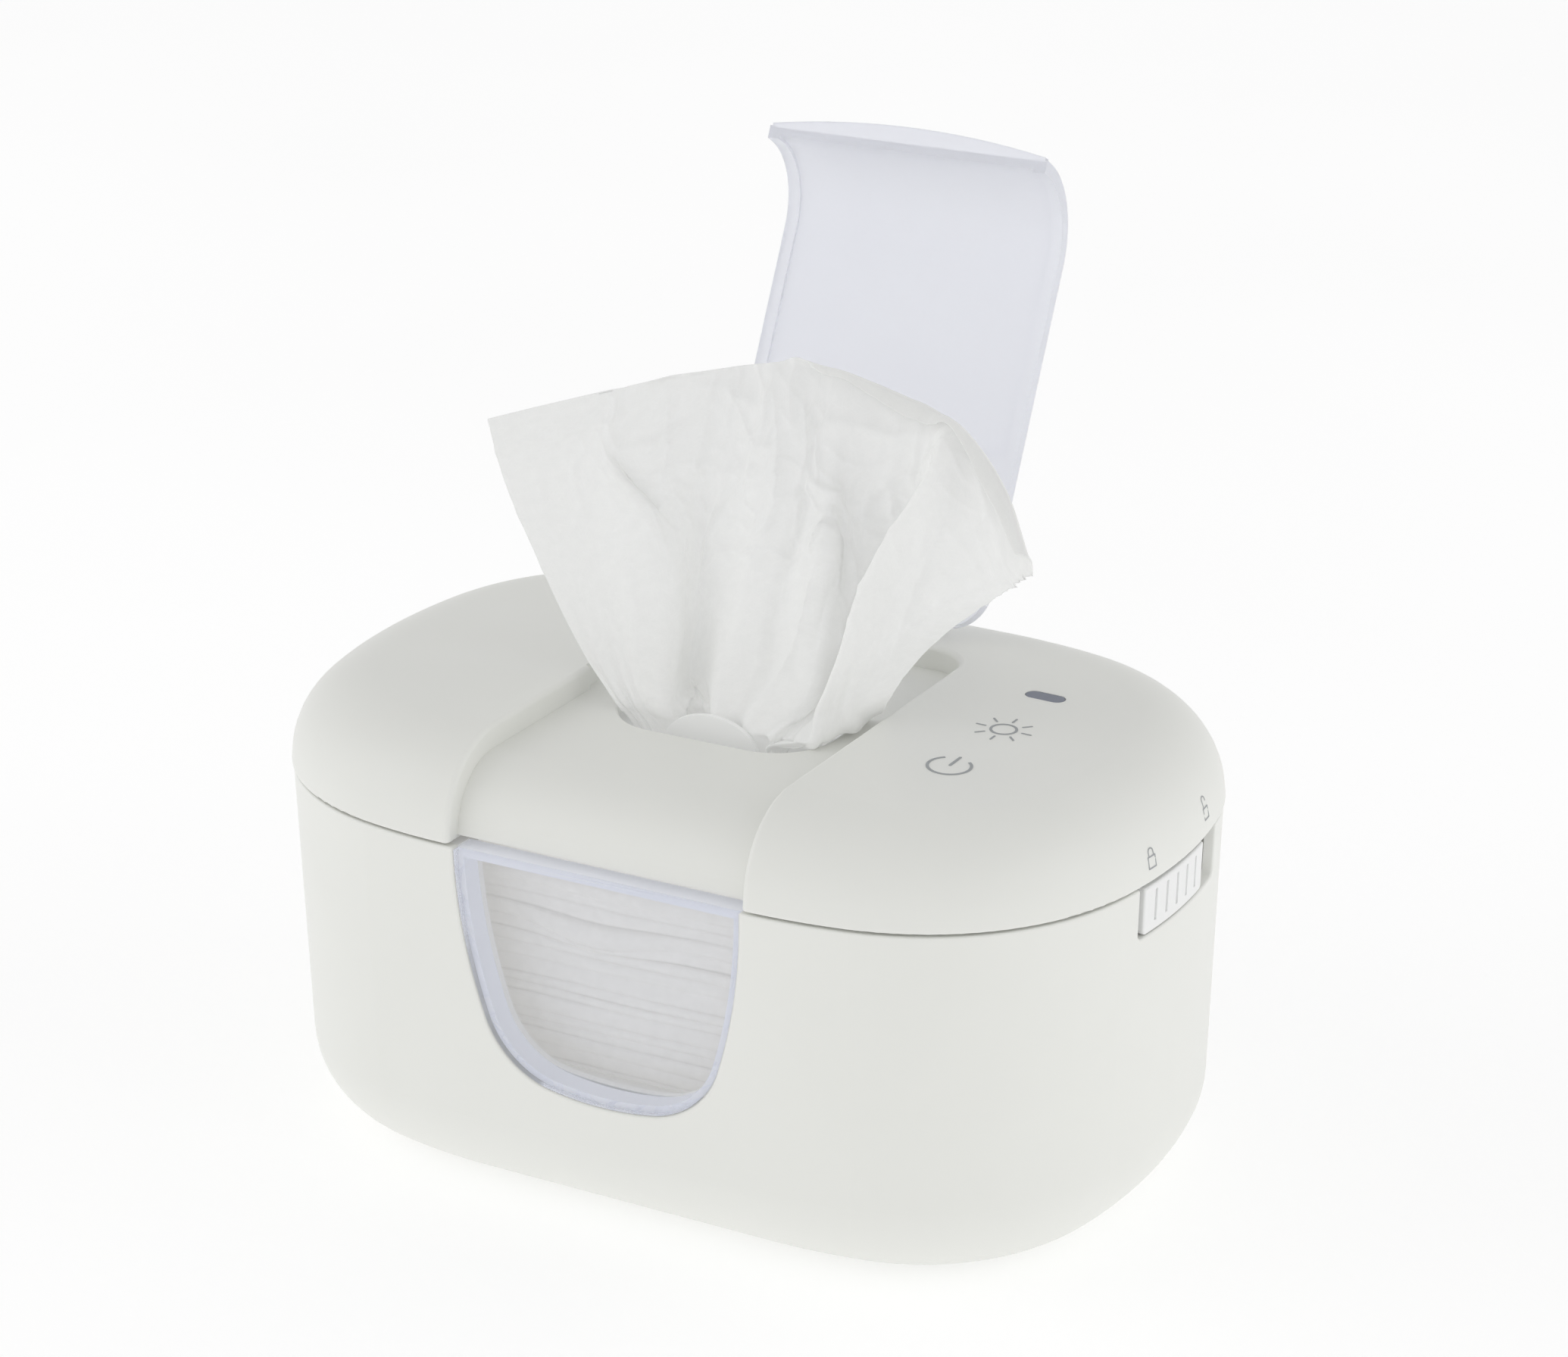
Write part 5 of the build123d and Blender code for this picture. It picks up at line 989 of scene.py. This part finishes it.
for spots, width, height, sharp in (
    ([(3.6, 0.86), (4.0, 0.80), (4.5, 0.70), (4.8, 0.62)], 1.3, 1.0, True),    # crisp ridge on the left
    ([(5.0, 0.62), (5.2, 0.45), (4.6, 0.25)], 3.0, 1.2, False),
    ([(2.6, 0.66), (3.0, 0.45), (3.4, 0.22)], 3.4, 1.0, False),
    ([(6.0, 0.97), (6.1, 0.86), (5.6, 0.74)], 1.2, 1.0, True),
    ([(6.9, 0.93), (6.6, 0.80)], 1.1, 0.8, True),
    ([(7.4, 0.98), (8.2, 0.88), (8.9, 0.84)], 1.2, 0.9, True),
    ([(8.9, 0.97), (9.4, 0.88), (9.6, 0.74), (9.0, 0.60)], 1.6, 1.2, True),
    ([(10.6, 0.97), (10.9, 0.86), (10.2, 0.76)], 1.2, 1.0, True),
    ([(11.6, 0.92), (12.2, 0.80)], 1.1, 0.8, True),
    ([(12.2, 0.64), (12.8, 0.70), (13.5, 0.66), (13.9, 0.58)], 1.2, 2.1, True),  # the hook in the middle
    ([(12.7, 0.66), (12.3, 0.50), (11.2, 0.36)], 1.5, 1.3, True),
    ([(13.4, 0.60), (12.8, 0.46)], 1.4, -1.1, False),
    ([(14.2, 0.52), (14.8, 0.42)], 1.2, 0.9, True),
    ([(15.2, 0.84), (15.6, 0.74)], 1.0, 0.8, True),
    ([(16.2, 0.94), (16.6, 0.84)], 1.3, 0.9, True),
    ([(19.6, 0.86), (20.6, 0.66), (21.4, 0.52)], 1.0, 0.55, True),
    ([(22.2, 0.84), (21.2, 0.70), (20.4, 0.50)], 1.0, 0.5, True),
    ([(20.9, 0.93), (20.3, 0.80)], 1.0, 0.5, True),
    ([(1.2, 0.34), (1.8, 0.20)], 0.9, 1.1, True),    # pleats beside the mouth
    ([(3.2, 0.33), (3.0, 0.19)], 0.9, 1.0, True),
    ([(8.0, 0.36), (5.8, 0.24), (5.4, 0.18)], 0.9, 1.3, True),
):
    relief += ridge(spots, width, height, sharp)


# %% Crumples, where the damp cloth was pressed and dried
SHIFTS = (0, 0, 0), (31.4, 17.2, 5.9), (7.1, 53.3, 2.4)     # noise_vector is not the same each run


def crumple(size, seed, power):
    """Thin ridges between soft flats, about size mm apart."""
    made = np.empty(uu.size)
    for i, (x, y) in enumerate(zip(flat_x.ravel(), flat_y.ravel())):
        warp = Vector((x / size + seed, y / size, 0))
        spot = warp * 0.7
        warp += 0.5 * Vector([noise.noise(spot + Vector(shift)) for shift in SHIFTS])
        made[i] = max(0.0, 1 - 2 * abs(noise.noise(warp))) ** power
    return made.reshape(uu.shape)


column = np.interp(uu, COLUMN_AT, range(len(COLUMN_AT)))
middle = step(4.5, 4, column) * (1 - step(17.5, 2.5, column))
upper = step(0.55, 0.5, vv) * (0.35 + 0.65 * middle)
relief += (1.3 * crumple(15, 3.0, 3) + 0.5 * crumple(6.5, 9.0, 3)) * upper
relief += 0.35 * (crumple(24, 5.0, 1) - 0.5) * step(0.15, 0.2, vv)
relief += 0.45 * np.exp(-((vv - 0.915) / 0.012) ** 2) * (1 - step(4.6, 2.0, column))
relief *= 1 - 0.75 * step(0.95, 0.08, vv) * step(10.5, 5.0, column)
sheet = base_sheet + facing(base_sheet) * relief[..., None]

# %% A ragged tip, and a hem that curls over on the right
tatter = np.array([
    noise.noise(Vector((v * 46, 2.2, 0))) + 0.6 * noise.noise(Vector((v * 130, 5.2, 0))) for v in V
])
tip = step(0.80, 0.3, vv) * np.clip((uu - 0.975) / 0.025, 0, 1)
sheet[..., 0] += 1.3 * tatter[:, None] * tip

HEM_ROWS = 22
HEM_BEND = 2.6              # length of cloth in the bend, in mm
HEM_TURN = 2.95             # how far it curls over, in radians
HEM_PLAIN, HEM_CURLED = 0.3, 5.6    # cloth past the net's last row, in mm
top = sheet[-1]
along_hem = np.gradient(top, axis=0)
upward = top - sheet[-6]
upward /= np.linalg.norm(upward, axis=1, keepdims=True)
forward = np.cross(along_hem, upward)
forward /= np.linalg.norm(forward, axis=1, keepdims=True)
here = column[-1]
curl = step(10.5, 6.0, here) * (1 - step(22.6, 0.9, here))
length = HEM_PLAIN + HEM_CURLED * curl * (0.8 + 0.2 * np.sin(here * 1.3))
rows, spot = [sheet], top.copy()
for k in range(HEM_ROWS):
    share = (k + 0.5) / HEM_ROWS
    bend = np.clip(share * length / HEM_BEND, 0, 1) * curl * HEM_TURN
    course = np.cos(bend)[:, None] * upward + np.sin(bend)[:, None] * forward
    spot = spot + course * (length / HEM_ROWS)[:, None]
    rows.append(spot[None])
sheet = np.concatenate(rows)
flat_y = np.concatenate([flat_y, flat_y[-1] + np.outer(np.arange(1, HEM_ROWS + 1) / HEM_ROWS, length)])
flat_x = np.concatenate([flat_x, np.repeat(flat_x[-1:], HEM_ROWS, axis=0)])
print("relief mm:", round(float(relief.min()), 2), round(float(relief.max()), 2))

# %% The sheet as a thin closed cloth
CLOTH_THICKNESS = 0.28

points = sheet.reshape(-1, 3)
uvs = np.stack([flat_x.ravel(), flat_y.ravel()], axis=-1)
faces = [
    (r * ACROSS + c, r * ACROSS + c + 1, (r + 1) * ACROSS + c + 1, (r + 1) * ACROSS + c)
    for r in range(len(sheet) - 1) for c in range(ACROSS - 1)
]
# Its emission is painted light that lifts the shade in its folds, and far=0.84 is painted shade that darkens
# it towards the hem.
soft_wipe = fibrous("soft_wipe", (0.78, 0.785, 0.772), (0.745, 0.75, 0.738), 0.35, 0.82, 0.03, far=0.84,
                    Subsurface_Weight=0.6, Subsurface_Radius=(1, 1, 1), Subsurface_Scale=0.002,
                    Emission_Color=(1, 1, 0.985, 1), Emission_Strength=0.11)
wipe = cloth_object("standing_wipe", points, uvs, faces, soft_wipe, "cover")
wall = wipe.modifiers.new("cloth_thickness", "SOLIDIFY")
wall.thickness = CLOTH_THICKNESS * MM
wall.offset = 0
bpy.ops.object.modifier_apply(modifier="cloth_thickness")
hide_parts("pulled_wipe")
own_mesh(wipe)
print("wipe faces:", len(wipe.data.polygons))
